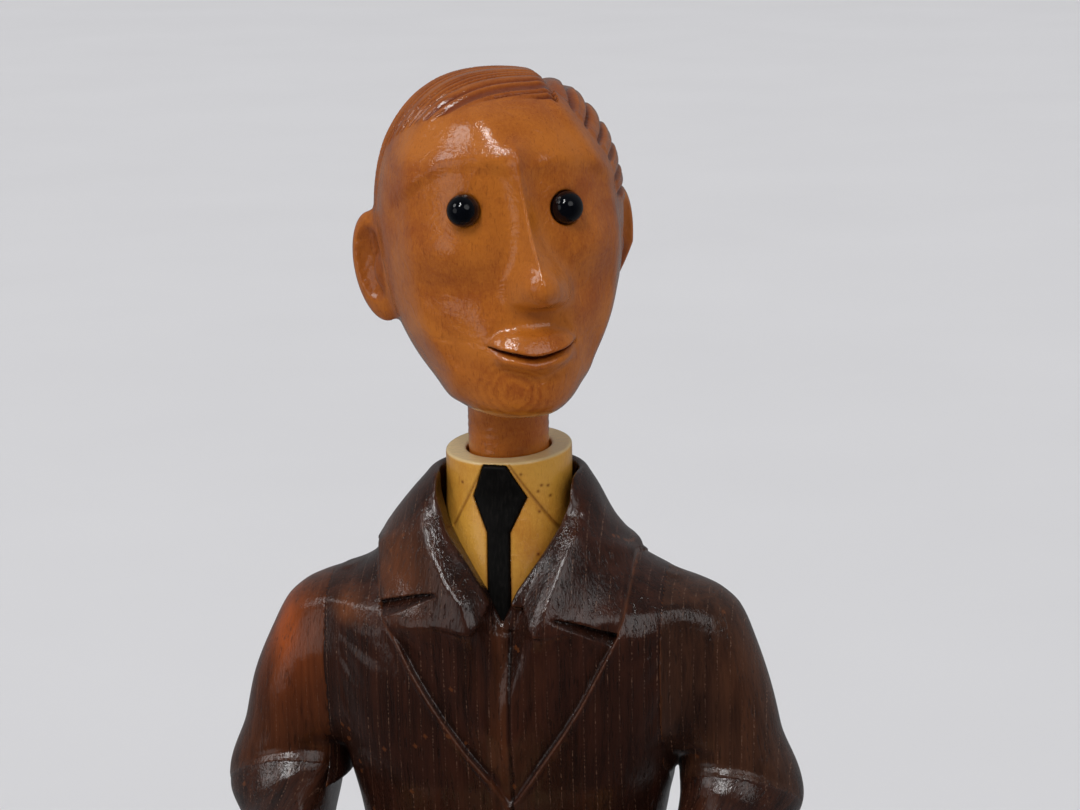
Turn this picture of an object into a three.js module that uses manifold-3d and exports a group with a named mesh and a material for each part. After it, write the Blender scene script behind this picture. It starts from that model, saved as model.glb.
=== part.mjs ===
// A carved and lacquered wooden man in a suit, standing on a plinth with an open portable computer
// in his hands. Millimetres, +Z up. The man faces -Y and his left side is +X. The origin is the
// centre of the plinth's underside, and the neck axis is the line X = 0, Y = 0.
import * as THREE from "three";
import { mergeVertices } from "three/addons/utils/BufferGeometryUtils.js";
import Module from "manifold-3d";

const wasm = await Module();
wasm.setup();

// Driving dimensions
const GLUE_GAP = 0.3; // between two pieces that touch or fit into each other
const NECK_CLEARANCE = 0.35; // all round the neck, which turns and lifts out
const PLINTH = { width: 84, depth: 72, height: 12, corner: 7, chamfer: 1.2 };
const SHOE = { length: 34, width: 13.5, height: 9.5, toeOut: 9 };
const LEG = { length: 78, apart: 2, hipWidth: 19.6, hipDepth: 23, cuffWidth: 15.5, cuffDepth: 18.5 };
const COAT = {
  length: 73.5, // hem to shoulder line
  hemWidth: 58,
  waistWidth: 48.6,
  shoulderWidth: 54, // between the two flat faces that the sleeves are glued to
  seatShift: -1.8, // both of these faces lie this far towards the man's right
  depth: 36,
  collarRise: 12.6, // shoulder line to the top of the coat collar
  lapelRelief: 1.3,
  lapelLength: 36, // shoulder line to the foot of the lapels
};
const SHIRT = { wall: 3.3, rise: 15.6, boreDepth: 13, belowTie: 1.6, opening: 24.9, openingShift: 2.2 };
const TIE = { knotWidth: 8.5, tailWidth: 3.8, length: 25.4, thickness: 1.6, relief: 0.4 };
const HEAD = {
  width: 38.4,
  depth: 45,
  height: 52.6,
  neckDiameter: 12.9,
  neckShows: 8.3, // chin to collar rim
  turn: 19.5, // degrees, towards the man's left
  lean: 1.4, // degrees, towards the man's right
  noseBend: 2.2, // the nose tip is carved off to the man's left
  mouthShift: 0.5, // and so is the mouth
};
const EYE = { diameter: 5, spacing: 15.8, shift: -1, level: 33.2, slope: 0.3, stand: 1.1 };
const ARM = { width: 17.6, depth: 18.5, upperLength: 37.5, elbowOut: 9.9, foreLength: 29, wrist: 11.6 };
const CUFF = { diameter: 9.6, shows: 2.6 };
const HAND = { length: 17, palmWidth: 8.2, fingerDiameter: 3.3 };
const BUTTON = { diameter: 4.6, thickness: 1.5, spacing: 13, belowLapels: 3.5 };
const COMPUTER = { width: 40, depth: 27, board: 4, lidHeight: 26, lidBoard: 2.8, lidTilt: 20 };
const PANEL = { depth: 1.2, thickness: 0.8, keyPitch: 2.7, keySize: 2, keysDeep: 11 };
const PEG = { below: 8, above: 12 }; // how far the neck peg goes into the shirt and into the neck
const DOWEL = { neck: 6, shoulder: 5, elbow: 4, wrist: 3, hip: 6, ankle: 5 };
const SCREW = { shank: 3, head: 6, headHeight: 2.4, sink: 2.6 };

// Levels that follow from them
const soleLevel = PLINTH.height + GLUE_GAP;
const ankleLevel = soleLevel + SHOE.height - 1.2;
const hemLevel = ankleLevel + LEG.length + GLUE_GAP;
const shoulderLevel = hemLevel + COAT.length - 4.5;
const coatCollarTop = shoulderLevel + 4.5 + COAT.collarRise;
const rimLevel = shoulderLevel + 4.5 + SHIRT.rise;
const chinLevel = rimLevel + HEAD.neckShows;
const boreFloor = rimLevel - SHIRT.boreDepth;
const buttonLevel = shoulderLevel - COAT.lapelLength - BUTTON.belowLapels;
const neckBore = HEAD.neckDiameter + 2 * NECK_CLEARANCE;
const collarRadius = neckBore / 2 + SHIRT.wall;
const waistLevel = THREE.MathUtils.lerp(hemLevel, shoulderLevel, 0.35);
const seatPlane = COAT.shoulderWidth / 2;
const hipX = (LEG.hipWidth + LEG.apart) / 2;

// Woods and finishes
const honeyWood = new THREE.MeshStandardMaterial({ color: 0xa8602c, roughness: 0.3, metalness: 0 });
const creamWood = new THREE.MeshStandardMaterial({ color: 0xc89a48, roughness: 0.4, metalness: 0 });
const darkWood = new THREE.MeshStandardMaterial({ color: 0x38201a, roughness: 0.32, metalness: 0 });
const trouserWood = new THREE.MeshStandardMaterial({ color: 0x4a2c20, roughness: 0.35, metalness: 0 });
const blackPaint = new THREE.MeshStandardMaterial({ color: 0x0c0b0b, roughness: 0.6, metalness: 0 });
const blackGlass = new THREE.MeshStandardMaterial({ color: 0x050508, roughness: 0.05, metalness: 0 });
const plainDowel = new THREE.MeshStandardMaterial({ color: 0xd9b98a, roughness: 0.7, metalness: 0 });
const walnutBoard = new THREE.MeshStandardMaterial({ color: 0x6a4426, roughness: 0.4, metalness: 0 });
const brass = new THREE.MeshStandardMaterial({ color: 0xb59a52, roughness: 0.35, metalness: 1 });

// Solids: a closed geometry becomes a solid that can be joined and cut, and back again.
function solidOf(geometry) {
  const bare = geometry.index ? geometry.toNonIndexed() : geometry.clone();
  bare.deleteAttribute("normal");
  bare.deleteAttribute("uv");
  const merged = mergeVertices(bare, 1e-4);
  const vertProperties = merged.attributes.position.array;
  const triVerts = new Uint32Array(merged.index.array);
  return new wasm.Manifold(new wasm.Mesh({ numProp: 3, vertProperties, triVerts }));
}

function geometryOf(solid) {
  const mesh = solid.getMesh();
  const geometry = new THREE.BufferGeometry();
  geometry.setAttribute("position", new THREE.BufferAttribute(mesh.vertProperties, 3));
  geometry.setIndex(new THREE.BufferAttribute(mesh.triVerts, 1));
  geometry.computeVertexNormals();
  return geometry;
}

function joined(...solids) {
  return solids.reduce((whole, next) => whole.add(next));
}

function without(solid, ...cuts) {
  return cuts.reduce((whole, cut) => whole.subtract(cut), solid);
}

// A closed body through rings of points. The rings may run either way along the body.
function bodyThroughRings(rings) {
  const solid = facedBody(rings);
  return solid.volume() < 0 ? facedBody(rings.toReversed()) : solid;
}

function facedBody(rings) {
  const sides = rings[0].length;
  const points = rings.flat();
  const centre = (ring) => ring.reduce((sum, p) => sum.add(p), new THREE.Vector3()).divideScalar(sides);
  const first = points.push(centre(rings[0])) - 1;
  const last = points.push(centre(rings.at(-1))) - 1;
  const faces = [];
  for (let r = 0; r < rings.length - 1; r += 1) {
    for (let s = 0; s < sides; s += 1) {
      const a = r * sides + s;
      const b = r * sides + ((s + 1) % sides);
      faces.push(a, b, b + sides, a, b + sides, a + sides);
    }
  }
  const top = (rings.length - 1) * sides;
  for (let s = 0; s < sides; s += 1) {
    faces.push(first, (s + 1) % sides, s);
    faces.push(last, top + s, top + ((s + 1) % sides));
  }
  const geometry = new THREE.BufferGeometry().setFromPoints(points);
  geometry.setIndex(faces);
  return solidOf(geometry);
}

// One level ring: a rounded oval whose squareness goes from 2, an ellipse, upwards.
function ovalRing({ x = 0, y = 0, z, wide, front, back = front, square = 2 }, sides) {
  return Array.from({ length: sides }, (_, i) => {
    const angle = (2 * Math.PI * i) / sides;
    const bend = (value) => Math.sign(value) * Math.abs(value) ** (2 / square);
    const along = bend(Math.sin(angle));
    const px = x + wide * bend(Math.cos(angle));
    const py = y + (along < 0 ? front : back) * along;
    return new THREE.Vector3(px, py, z);
  });
}

function stackedBody(levels, sides) {
  return bodyThroughRings(levels.map((level) => ovalRing(level, sides)));
}

function turnFromY(direction) {
  return new THREE.Quaternion().setFromUnitVectors(point(0, 1, 0), direction);
}

// A round bar from one point to another, with its own radius at each end.
function bar(from, to, startRadius, endRadius = startRadius, sides = 18) {
  const axis = new THREE.Vector3().subVectors(to, from);
  const geometry = new THREE.CylinderGeometry(endRadius, startRadius, axis.length(), sides);
  geometry.translate(0, axis.length() / 2, 0);
  geometry.applyQuaternion(turnFromY(axis.clone().normalize()));
  geometry.translate(from.x, from.y, from.z);
  return solidOf(geometry);
}

function point(x, y, z) {
  return new THREE.Vector3(x, y, z);
}

function ellipsoid(centre, rx, ry, rz, turn = new THREE.Euler(), detail = 12) {
  const geometry = new THREE.SphereGeometry(1, detail, Math.round(detail * 0.7));
  geometry.scale(rx, ry, rz);
  geometry.applyQuaternion(new THREE.Quaternion().setFromEuler(turn));
  geometry.translate(centre.x, centre.y, centre.z);
  return solidOf(geometry);
}

// Everything on the far side of a plane, as a large block.
function beyond(at, normal) {
  const size = 800;
  const geometry = new THREE.BoxGeometry(size, size, size);
  geometry.translate(0, size / 2, 0);
  geometry.applyQuaternion(turnFromY(normal));
  geometry.translate(at.x, at.y, at.z);
  return solidOf(geometry);
}

function block(centre, width, depth, height) {
  const geometry = new THREE.BoxGeometry(width, depth, height);
  geometry.translate(centre.x, centre.y, centre.z);
  return solidOf(geometry);
}

// An outline drawn in the front view, X across and Z up, as a prism from one Y to another.
function frontPrism(outline, fromY, toY) {
  const shape = new THREE.Shape(outline.map(([x, z]) => new THREE.Vector2(x, z)));
  const geometry = new THREE.ExtrudeGeometry(shape, { depth: toY - fromY, bevelEnabled: false });
  geometry.rotateX(Math.PI / 2);
  geometry.translate(0, toY, 0);
  return solidOf(geometry);
}

function mirrored(outline) {
  return outline.map(([x, z]) => [-x, z]).reverse();
}

const figure = new THREE.Group();

function addPiece(name, solid, material, parent = figure) {
  const mesh = new THREE.Mesh(geometryOf(solid), material);
  mesh.name = name;
  parent.add(mesh);
  return mesh;
}

const SIDES_OF_THE_MAN = [
  { name: "left", sign: 1 },
  { name: "right", sign: -1 },
];

// Plinth and its screws
const ankleX = hipX + 1;
const ankleY = 3;
const screwTop = soleLevel + 4.2;

function plinth() {
  const { width, depth, height, corner, chamfer } = PLINTH;
  const inset = chamfer;
  const w = width / 2 - inset;
  const d = depth / 2 - inset;
  const r = corner - inset;
  const outline = new THREE.Shape();
  outline.moveTo(w, -d + r);
  outline.lineTo(w, d - r);
  outline.absarc(w - r, d - r, r, 0, Math.PI / 2);
  outline.lineTo(-w + r, d);
  outline.absarc(-w + r, d - r, r, Math.PI / 2, Math.PI);
  outline.lineTo(-w, -d + r);
  outline.absarc(-w + r, -d + r, r, Math.PI, 1.5 * Math.PI);
  outline.lineTo(w - r, -d);
  outline.absarc(w - r, -d + r, r, 1.5 * Math.PI, 2 * Math.PI);
  const bevel = { bevelSize: chamfer, bevelThickness: chamfer, bevelSegments: 1, curveSegments: 5 };
  const geometry = new THREE.ExtrudeGeometry(outline, { depth: height - 2 * chamfer, ...bevel });
  geometry.translate(0, 0, chamfer);
  const cuts = SIDES_OF_THE_MAN.flatMap(({ sign }) => {
    const x = sign * ankleX;
    const sinkTop = SCREW.sink + SCREW.headHeight + GLUE_GAP;
    return [
      bar(point(x, ankleY, -1), point(x, ankleY, sinkTop), SCREW.head / 2 + GLUE_GAP),
      bar(point(x, ankleY, 0), point(x, ankleY, height + 1), SCREW.shank / 2 + GLUE_GAP, undefined, 14),
    ];
  });
  return without(solidOf(geometry), ...cuts);
}

function baseScrew(sign) {
  const x = sign * ankleX;
  const under = SCREW.sink + SCREW.headHeight;
  const head = bar(point(x, ankleY, SCREW.sink), point(x, ankleY, under), SCREW.head / 2);
  const shank = bar(point(x, ankleY, under - 0.5), point(x, ankleY, screwTop), SCREW.shank / 2, 0.9, 12);
  const slot = block(point(x, ankleY, SCREW.sink), SCREW.head + 1, 0.9, 1.2);
  return without(joined(head, shank), slot);
}

// Shoes, legs and the dowels that hold them
const ankleDowelFrom = screwTop + 1;

function ankleDowelEnds(sign) {
  const x = sign * ankleX;
  return [point(x, ankleY, ankleDowelFrom), point(x, ankleY, ankleLevel + 11)];
}

function shoe(sign) {
  const w = SHOE.width / 2;
  const h = SHOE.height;
  const reach = SHOE.length;
  const heel = 9;
  const profile = [
    { y: heel, half: w * 0.5, top: h * 0.62 },
    { y: heel - 1.6, half: w * 0.8, top: h * 0.9 },
    { y: heel - 5, half: w * 0.9, top: h },
    { y: -4, half: w * 0.84, top: h },
    { y: -8, half: w * 0.9, top: h * 0.86 },
    { y: -14, half: w, top: h * 0.68 },
    { y: -19, half: w * 0.94, top: h * 0.56 },
    { y: heel - reach + 2.2, half: w * 0.66, top: h * 0.45 },
    { y: heel - reach, half: w * 0.3, top: h * 0.28 },
  ];
  const rings = profile.map(({ y, half, top }) =>
    [
      [-1, 0], [-1, 0.35], [-0.94, 0.62], [-0.72, 0.9], [-0.34, 1],
      [0.34, 1], [0.72, 0.9], [0.94, 0.62], [1, 0.35], [1, 0], [0.4, 0], [-0.4, 0],
    ].map(([across, up]) => point(across * half, y, up * top)),
  );
  const geometry = geometryOf(bodyThroughRings(rings));
  geometry.rotateZ(sign * THREE.MathUtils.degToRad(SHOE.toeOut));
  geometry.translate(sign * ankleX, ankleY, soleLevel);
  const x = sign * ankleX;
  const flat = beyond(point(0, 0, ankleLevel), point(0, 0, 1));
  const screwHole = [point(x, ankleY, 0), point(x, ankleY, ankleDowelFrom)];
  return without(
    solidOf(geometry),
    flat,
    hole(ankleDowelEnds(sign), DOWEL.ankle),
    bar(...screwHole, SCREW.shank / 2 + GLUE_GAP, undefined, 14),
  );
}

function trouserLeg(sign) {
  const bottom = ankleLevel + GLUE_GAP;
  const hip = { wide: LEG.hipWidth / 2, front: LEG.hipDepth / 2 };
  const cuff = { wide: LEG.cuffWidth / 2, front: LEG.cuffDepth / 2 };
  const at = (share, wide, front, y) => ({
    x: sign * THREE.MathUtils.lerp(ankleX, hipX, share),
    y,
    z: bottom + share * LEG.length,
    wide,
    front,
    square: 2.3,
  });
  const levels = [
    at(0, cuff.wide * 0.96, cuff.front * 0.96, 1.4),
    at(0.02, cuff.wide, cuff.front, 1.4),
    at(0.09, cuff.wide * 0.97, cuff.front * 0.97, 1.6),
    at(0.28, cuff.wide, cuff.front, 1.8),
    at(0.5, (cuff.wide + hip.wide) * 0.49, (cuff.front + hip.front) * 0.49, 1),
    at(0.75, hip.wide * 0.96, hip.front * 0.97, 0.6),
    at(0.93, hip.wide, hip.front, 0.4),
    at(1 - GLUE_GAP / LEG.length, hip.wide, hip.front, 0.4),
  ];
  return without(
    stackedBody(levels, 28),
    hole(ankleDowelEnds(sign), DOWEL.ankle),
    hole(hipDowelEnds(sign), DOWEL.hip),
  );
}

// Coat body: the trunk, the raised coat collar and lapels, and the seats for what is glued to it
function trunk(proud) {
  const d = COAT.depth / 2;
  const top = shoulderLevel;
  const up = (share) => THREE.MathUtils.lerp(hemLevel, top, share);
  const rows = [
    { z: up(0), wide: COAT.hemWidth / 2, front: d * 1.03, back: d * 1.03 },
    { z: up(0.17), wide: COAT.hemWidth / 2 - 2.4, front: d * 0.98, back: d * 0.96 },
    { z: waistLevel, wide: COAT.waistWidth / 2, front: d * 0.93, back: d * 0.86 },
    { z: up(0.43), wide: COAT.waistWidth / 2 + 0.9, front: d * 0.94, back: d * 0.86 },
    { z: up(0.55), wide: COAT.shoulderWidth / 2 + 0.2, front: d * 0.98, back: d * 0.93 },
    { z: up(0.7), wide: COAT.shoulderWidth / 2 + 3, front: d, back: d },
    { z: top - 8, wide: COAT.shoulderWidth / 2 + 4, front: d * 0.95, back: d },
    { z: top - 4, wide: COAT.shoulderWidth / 2 + 4, front: d * 0.84, back: d * 0.93 },
    { z: top - 1.2, wide: COAT.shoulderWidth / 2 + 0.8, front: d * 0.68, back: d * 0.8 },
    { z: top + 1.2, wide: COAT.shoulderWidth / 2 - 3.2, front: d * 0.54, back: d * 0.68 },
    { z: top + 3.4, wide: COAT.shoulderWidth / 2 - 6.5, front: d * 0.36, back: d * 0.5 },
  ];
  const levels = rows.map((row) => ({
    ...row,
    wide: row.wide + proud,
    front: row.front + proud,
    back: row.back + proud,
    square: 2.5,
  }));
  return stackedBody(levels, 40);
}

function coatCollar() {
  const top = coatCollarTop;
  const rim = collarRadius + 1.2;
  const foot = { wide: COAT.shoulderWidth / 2 - 5, front: COAT.depth / 2 - 0.4, back: COAT.depth / 2 - 1 };
  const at = (z, wide, front, back) => ({
    z,
    wide: THREE.MathUtils.lerp(rim, foot.wide, wide),
    front: THREE.MathUtils.lerp(rim - 0.2, foot.front, front),
    back: THREE.MathUtils.lerp(rim + 0.6, foot.back, back),
  });
  const levels = [
    at(shoulderLevel - 2, 1, 1, 1),
    at(shoulderLevel + 4, 0.87, 0.66, 0.73),
    at(top - 8.5, 0.63, 0.42, 0.49),
    at(top - 4, 0.33, 0.17, 0.25),
    at(top, 0, 0, 0),
  ];
  return stackedBody(levels, 36);
}

// The lapel's outline on one side, from the coat collar down to the top button. The widths are
// shares of the half width between the sleeve seats, and the drops are shares of the lapel length.
function lapelOutline() {
  const shares = [
    [0.022, 1],
    [0.17, 0.883],
    [0.311, 0.739],
    [0.444, 0.567],
    [0.563, 0.417],
    [0.656, 0.278],
    [0.715, 0.139],
    [0.763, -0.042],
    [0.296, -0.278],
    [0.022, 0.056],
  ];
  return shares.map(([out, down]) => [out * seatPlane, shoulderLevel - down * COAT.lapelLength]);
}

// The shirt plug leans forward a little, so that its face comes up to the lapels at the tie's tip.
const plugFloor = Math.min(rimLevel - TIE.length, boreFloor - PEG.below) - SHIRT.belowTie;

function shirtPlug(grown) {
  const r = collarRadius + grown;
  const deep = rimLevel - plugFloor;
  const levels = [
    { z: plugFloor - grown, y: -2.4, wide: r + 0.6, front: r + 1 },
    { z: rimLevel - deep * 0.81, y: -2, wide: r + 0.5, front: r + 1 },
    { z: rimLevel - deep * 0.41, y: -0.6, wide: r + 0.1, front: r + 0.3 },
    { z: rimLevel - 5, wide: r, front: r },
    { z: rimLevel - 0.5, wide: r, front: r },
    { z: rimLevel, wide: r - 0.4, front: r - 0.4 },
  ];
  return stackedBody(levels, 40);
}

// The opening between the lapels that shows the shirt.
function neckOpening() {
  const outline = [
    [SHIRT.openingShift, rimLevel - SHIRT.opening],
    [collarRadius - 0.9, rimLevel - 10.5],
    [collarRadius + 0.5, coatCollarTop + 3],
    [-collarRadius - 0.5, coatCollarTop + 3],
    [-collarRadius + 0.9, rimLevel - 10.5],
  ];
  return frontPrism(outline, -COAT.depth, -6);
}

// How far a sleeve's seat lies from the neck axis, and the space outside it above the waist.
function seatDistance(sign) {
  return seatPlane + sign * COAT.seatShift;
}

const aboveWaist = beyond(point(0, 0, waistLevel), point(0, 0, 1));

function outsideSeat(sign) {
  const face = point(sign * (seatDistance(sign) - GLUE_GAP / 2), 0, 0);
  return beyond(face, point(sign, 0, 0)).intersect(aboveWaist);
}

function shoulderDowelEnds(sign) {
  const z = shoulderLevel - 14;
  const x = seatDistance(sign);
  return [point(sign * (x - 7), 0, z), point(sign * (x + 7), 0, z)];
}

function hole([from, to], diameter) {
  const along = new THREE.Vector3().subVectors(to, from).normalize().multiplyScalar(GLUE_GAP);
  return bar(from.clone().sub(along), to.clone().add(along), diameter / 2 + GLUE_GAP);
}

function hipDowelEnds(sign) {
  const x = sign * hipX;
  return [point(x, 0, hemLevel - 10), point(x, 0, hemLevel + 10)];
}

// A button is a flat disc with a stem, and its seat in the coat is the same shape a gap larger.
const buttonX = 1.6;
const buttonFace = -COAT.depth / 2 + 0.2;
const STEM = { radius: 0.9, length: 3 };

function button(level) {
  const disc = [point(buttonX, buttonFace - BUTTON.thickness, level), point(buttonX, buttonFace, level)];
  const stem = [point(buttonX, buttonFace - 0.4, level), point(buttonX, buttonFace + STEM.length, level)];
  return joined(bar(...disc, BUTTON.diameter / 2), bar(...stem, STEM.radius, undefined, 12));
}

function buttonSeat(level) {
  const disc = [point(buttonX, buttonFace - 6, level), point(buttonX, buttonFace + GLUE_GAP, level)];
  const stemEnd = buttonFace + STEM.length + GLUE_GAP;
  const stem = [point(buttonX, buttonFace - 2, level), point(buttonX, stemEnd, level)];
  return joined(
    bar(...disc, BUTTON.diameter / 2 + GLUE_GAP),
    bar(...stem, STEM.radius + GLUE_GAP, undefined, 12),
  );
}

function coatBody() {
  const right = lapelOutline();
  const lapels = joined(frontPrism(right, -60, -3), frontPrism(mirrored(right), -60, -3));
  const raised = joined(trunk(COAT.lapelRelief), coatCollar()).intersect(lapels);
  const solid = joined(trunk(0), coatCollar(), raised);
  const sides = SIDES_OF_THE_MAN.flatMap(({ sign }) => [
    outsideSeat(sign),
    hole(shoulderDowelEnds(sign), DOWEL.shoulder),
    hole(hipDowelEnds(sign), DOWEL.hip),
  ]);
  return without(
    solid,
    ...sides,
    shirtPlug(GLUE_GAP),
    bar(point(0, 0, rimLevel - 4), point(0, 0, rimLevel + 4), collarRadius + GLUE_GAP),
    neckOpening(),
    tieSlab(GLUE_GAP, TIE.relief + GLUE_GAP),
    buttonSeat(buttonLevel),
    buttonSeat(buttonLevel - BUTTON.spacing),
  );
}

// Neck peg, shirt and tie
const pegEnds = [point(0, 0, boreFloor - PEG.below), point(0, 0, boreFloor + PEG.above)];

function tieOutline(grown) {
  const knot = TIE.knotWidth / 2 + grown;
  const tail = TIE.tailWidth / 2 + grown;
  const top = rimLevel - 0.5 + grown;
  const right = [
    [tail, rimLevel - TIE.length - grown],
    [tail - 0.2, rimLevel - 11.5],
    [knot, rimLevel - 5.6],
    [1.7 + grown, top],
  ];
  return [...right, ...mirrored(right)];
}

function tieSlab(grown, proud) {
  const skin = shirtPlug(proud);
  const core = shirtPlug(proud - TIE.thickness - grown);
  return skin.intersect(frontPrism(tieOutline(grown), -30, -2)).subtract(core);
}

function shirtCollar() {
  const bore = bar(point(0, 0, boreFloor), point(0, 0, rimLevel + 2), neckBore / 2, undefined, 40);
  const pegHole = hole(pegEnds, DOWEL.neck);
  const recess = tieSlab(GLUE_GAP, TIE.relief + GLUE_GAP);
  return without(shirtPlug(0), bore, pegHole, recess);
}

function tie() {
  return tieSlab(0, TIE.relief).subtract(beyond(point(0, 0, rimLevel - 0.5), point(0, 0, 1)));
}

// Head: the skull leans on the upright neck, and both are turned together towards the man's left.
function skullRows() {
  const w = HEAD.width / 2;
  const d = HEAD.depth / 2;
  const at = (share, wide, front, back) => ({
    z: share * HEAD.height,
    wide: w * wide,
    front: d * front,
    back: d * back,
    square: 2.15,
  });
  return [
    at(0, 0.2, 0.62, -0.2),
    at(0.03, 0.4, 0.84, 0.1),
    at(0.1, 0.6, 0.94, 0.42),
    at(0.2, 0.78, 0.95, 0.68),
    at(0.33, 0.92, 0.95, 0.86),
    at(0.48, 0.99, 0.95, 0.97),
    at(0.64, 1, 0.97, 1),
    at(0.78, 0.92, 0.93, 0.96),
    at(0.88, 0.76, 0.8, 0.84),
    at(0.95, 0.56, 0.6, 0.62),
    at(1, 0.2, 0.24, 0.26),
  ];
}

function eyeCentre(sign) {
  const x = EYE.shift + (sign * EYE.spacing) / 2;
  return point(x, -HEAD.depth / 2 + 3.5 - EYE.stand, EYE.level - sign * EYE.slope);
}

function skull() {
  const shell = stackedBody(skullRows(), 30);
  const z = (share) => share * HEAD.height;
  const face = -HEAD.depth / 2;
  const bend = HEAD.noseBend;
  const nose = bodyThroughRings([
    ovalRing({ x: bend, y: face + 3, z: z(0.33), wide: 2.2, front: 1.5 }, 12),
    ovalRing({ x: bend, y: face + 0.6, z: z(0.365), wide: 4.6, front: 4.4 }, 12),
    ovalRing({ x: bend * 0.9, y: face + 0.8, z: z(0.42), wide: 3.9, front: 4.2 }, 12),
    ovalRing({ x: bend * 0.5, y: face + 1.2, z: z(0.55), wide: 2.2, front: 3.2 }, 12),
    ovalRing({ y: face + 3.4, z: z(0.74), wide: 1.6, front: 2.4 }, 12),
  ]);
  const lips = ellipsoid(point(HEAD.mouthShift, face + 2.2, z(0.222)), 7, 3.1, 2.6);
  const mouth = ellipsoid(point(HEAD.mouthShift, face - 1, z(0.222)), 6.6, 2, 0.55);
  const ears = SIDES_OF_THE_MAN.map(({ sign }) => {
    const turn = new THREE.Euler(0.12, 0.14 * sign, -0.5 * sign);
    return ellipsoid(point(sign * (HEAD.width / 2 - 0.8), 3, z(0.415)), 2.2, 5.2, 8.4, turn, 14);
  });
  const sockets = SIDES_OF_THE_MAN.map(({ sign }) => {
    const centre = eyeCentre(sign);
    const radius = EYE.diameter / 2 + GLUE_GAP;
    return joined(
      ellipsoid(centre, radius, radius, radius, new THREE.Euler(), 16),
      bar(centre, point(centre.x, centre.y - 8, centre.z), radius, undefined, 16),
    );
  });
  return without(joined(shell, nose, lips, ...ears), mouth, ...sockets);
}

// Places something that belongs to the skull in the figure's frame.
function seatedOnNeck(geometry) {
  geometry.rotateY(THREE.MathUtils.degToRad(-HEAD.lean));
  geometry.rotateZ(THREE.MathUtils.degToRad(HEAD.turn));
  geometry.translate(0, 0, chinLevel);
  return geometry;
}

function head() {
  const bottom = boreFloor + GLUE_GAP;
  const top = chinLevel + 16;
  const neck = bar(point(0, 0, bottom), point(0, 0, top), HEAD.neckDiameter / 2, undefined, 40);
  const flare = bar(point(0, 0, chinLevel - 4), point(0, 0, chinLevel + 8), HEAD.neckDiameter / 2, 12.4, 32);
  const placed = solidOf(seatedOnNeck(geometryOf(skull())));
  return without(joined(placed, neck, flare), hole(pegEnds, DOWEL.neck));
}

function eye(sign) {
  const c = eyeCentre(sign);
  const bead = ellipsoid(c, EYE.diameter / 2, EYE.diameter / 2, EYE.diameter / 2, new THREE.Euler(), 13);
  return solidOf(seatedOnNeck(geometryOf(bead)));
}

// Arms: each one bends at a mitred elbow, and the forearm comes forward to the computer.
const computerLevel = shoulderLevel - ARM.upperLength - 19.5; // underside of the base board
const gripY = -ARM.foreLength - 14;

function armLine(sign) {
  const shoulder = point(sign * (seatPlane + 6), 0, shoulderLevel - 10);
  const elbow = point(sign * (seatPlane + ARM.elbowOut), 0.5, shoulderLevel - ARM.upperLength);
  const hand = point(sign * (COMPUTER.width / 2 + 4.6), gripY, computerLevel + 2.4);
  const down = new THREE.Vector3().subVectors(elbow, shoulder).normalize();
  const forward = new THREE.Vector3().subVectors(hand, elbow).normalize();
  const mitre = down.clone().add(forward).normalize();
  return { shoulder, elbow, hand, down, forward, mitre };
}

function alongForearm(sign, distance) {
  const { elbow, forward } = armLine(sign);
  return elbow.clone().addScaledVector(forward, distance);
}

// A limb of oval section along a straight line, from stations of distance and radii.
function limb(from, direction, stations, sides) {
  const across = point(1, 0, 0).addScaledVector(direction, -direction.x).normalize();
  const other = new THREE.Vector3().crossVectors(direction, across);
  const rings = stations.map(([distance, wide, deep]) => {
    const centre = from.clone().addScaledVector(direction, distance);
    return Array.from({ length: sides }, (_, i) => {
      const angle = (2 * Math.PI * i) / sides;
      return centre
        .clone()
        .addScaledVector(across, wide * Math.cos(angle))
        .addScaledVector(other, deep * Math.sin(angle));
    });
  });
  return bodyThroughRings(rings);
}

function elbowDowelEnds(sign) {
  const { elbow, mitre } = armLine(sign);
  return [elbow.clone().addScaledVector(mitre, -5.5), elbow.clone().addScaledVector(mitre, 5.5)];
}

function upperSleeve(sign) {
  const { elbow, mitre } = armLine(sign);
  const w = ARM.width / 2;
  const d = ARM.depth / 2;
  // Each row is the drop below the shoulder line, how far the sleeve reaches outwards there, and
  // the shares of its width and depth.
  const rows = [
    [1, 2.2, 0.36, 0.42],
    [1.9, 4.8, 0.6, 0.63],
    [3.3, 7.6, 0.86, 0.83],
    [5.8, 10.2, 1, 0.95],
    [10.8, 12.4, 1.04, 1],
    [19.5, 15.2, 1.04, 1],
    [27.6, 17, 1.02, 0.98],
    [33.8, 18.4, 1, 0.97],
    [40, 19.6, 0.98, 0.96],
    [50, 21.2, 0.97, 0.95],
  ];
  const levels = rows.map(([drop, reach, wide, deep]) => ({
    x: sign * (seatPlane + reach - w * wide),
    y: elbow.y / 2,
    z: shoulderLevel - drop,
    wide: w * wide,
    front: d * deep,
  }));
  const cutAt = elbow.clone().addScaledVector(mitre, -GLUE_GAP / 2);
  const seat = point(sign * (seatDistance(sign) + GLUE_GAP / 2), 0, 0);
  // The top of the sleeve takes in the slice of the trunk outside the seat, so the seam is flush.
  return without(
    joined(stackedBody(levels, 26), trunk(0).intersect(aboveWaist)),
    beyond(cutAt, mitre),
    beyond(seat, point(-sign, 0, 0)),
    hole(shoulderDowelEnds(sign), DOWEL.shoulder),
    hole(elbowDowelEnds(sign), DOWEL.elbow),
  );
}

function wristDowelEnds(sign) {
  return [alongForearm(sign, ARM.foreLength - 6), alongForearm(sign, ARM.foreLength + 7)];
}

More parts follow.
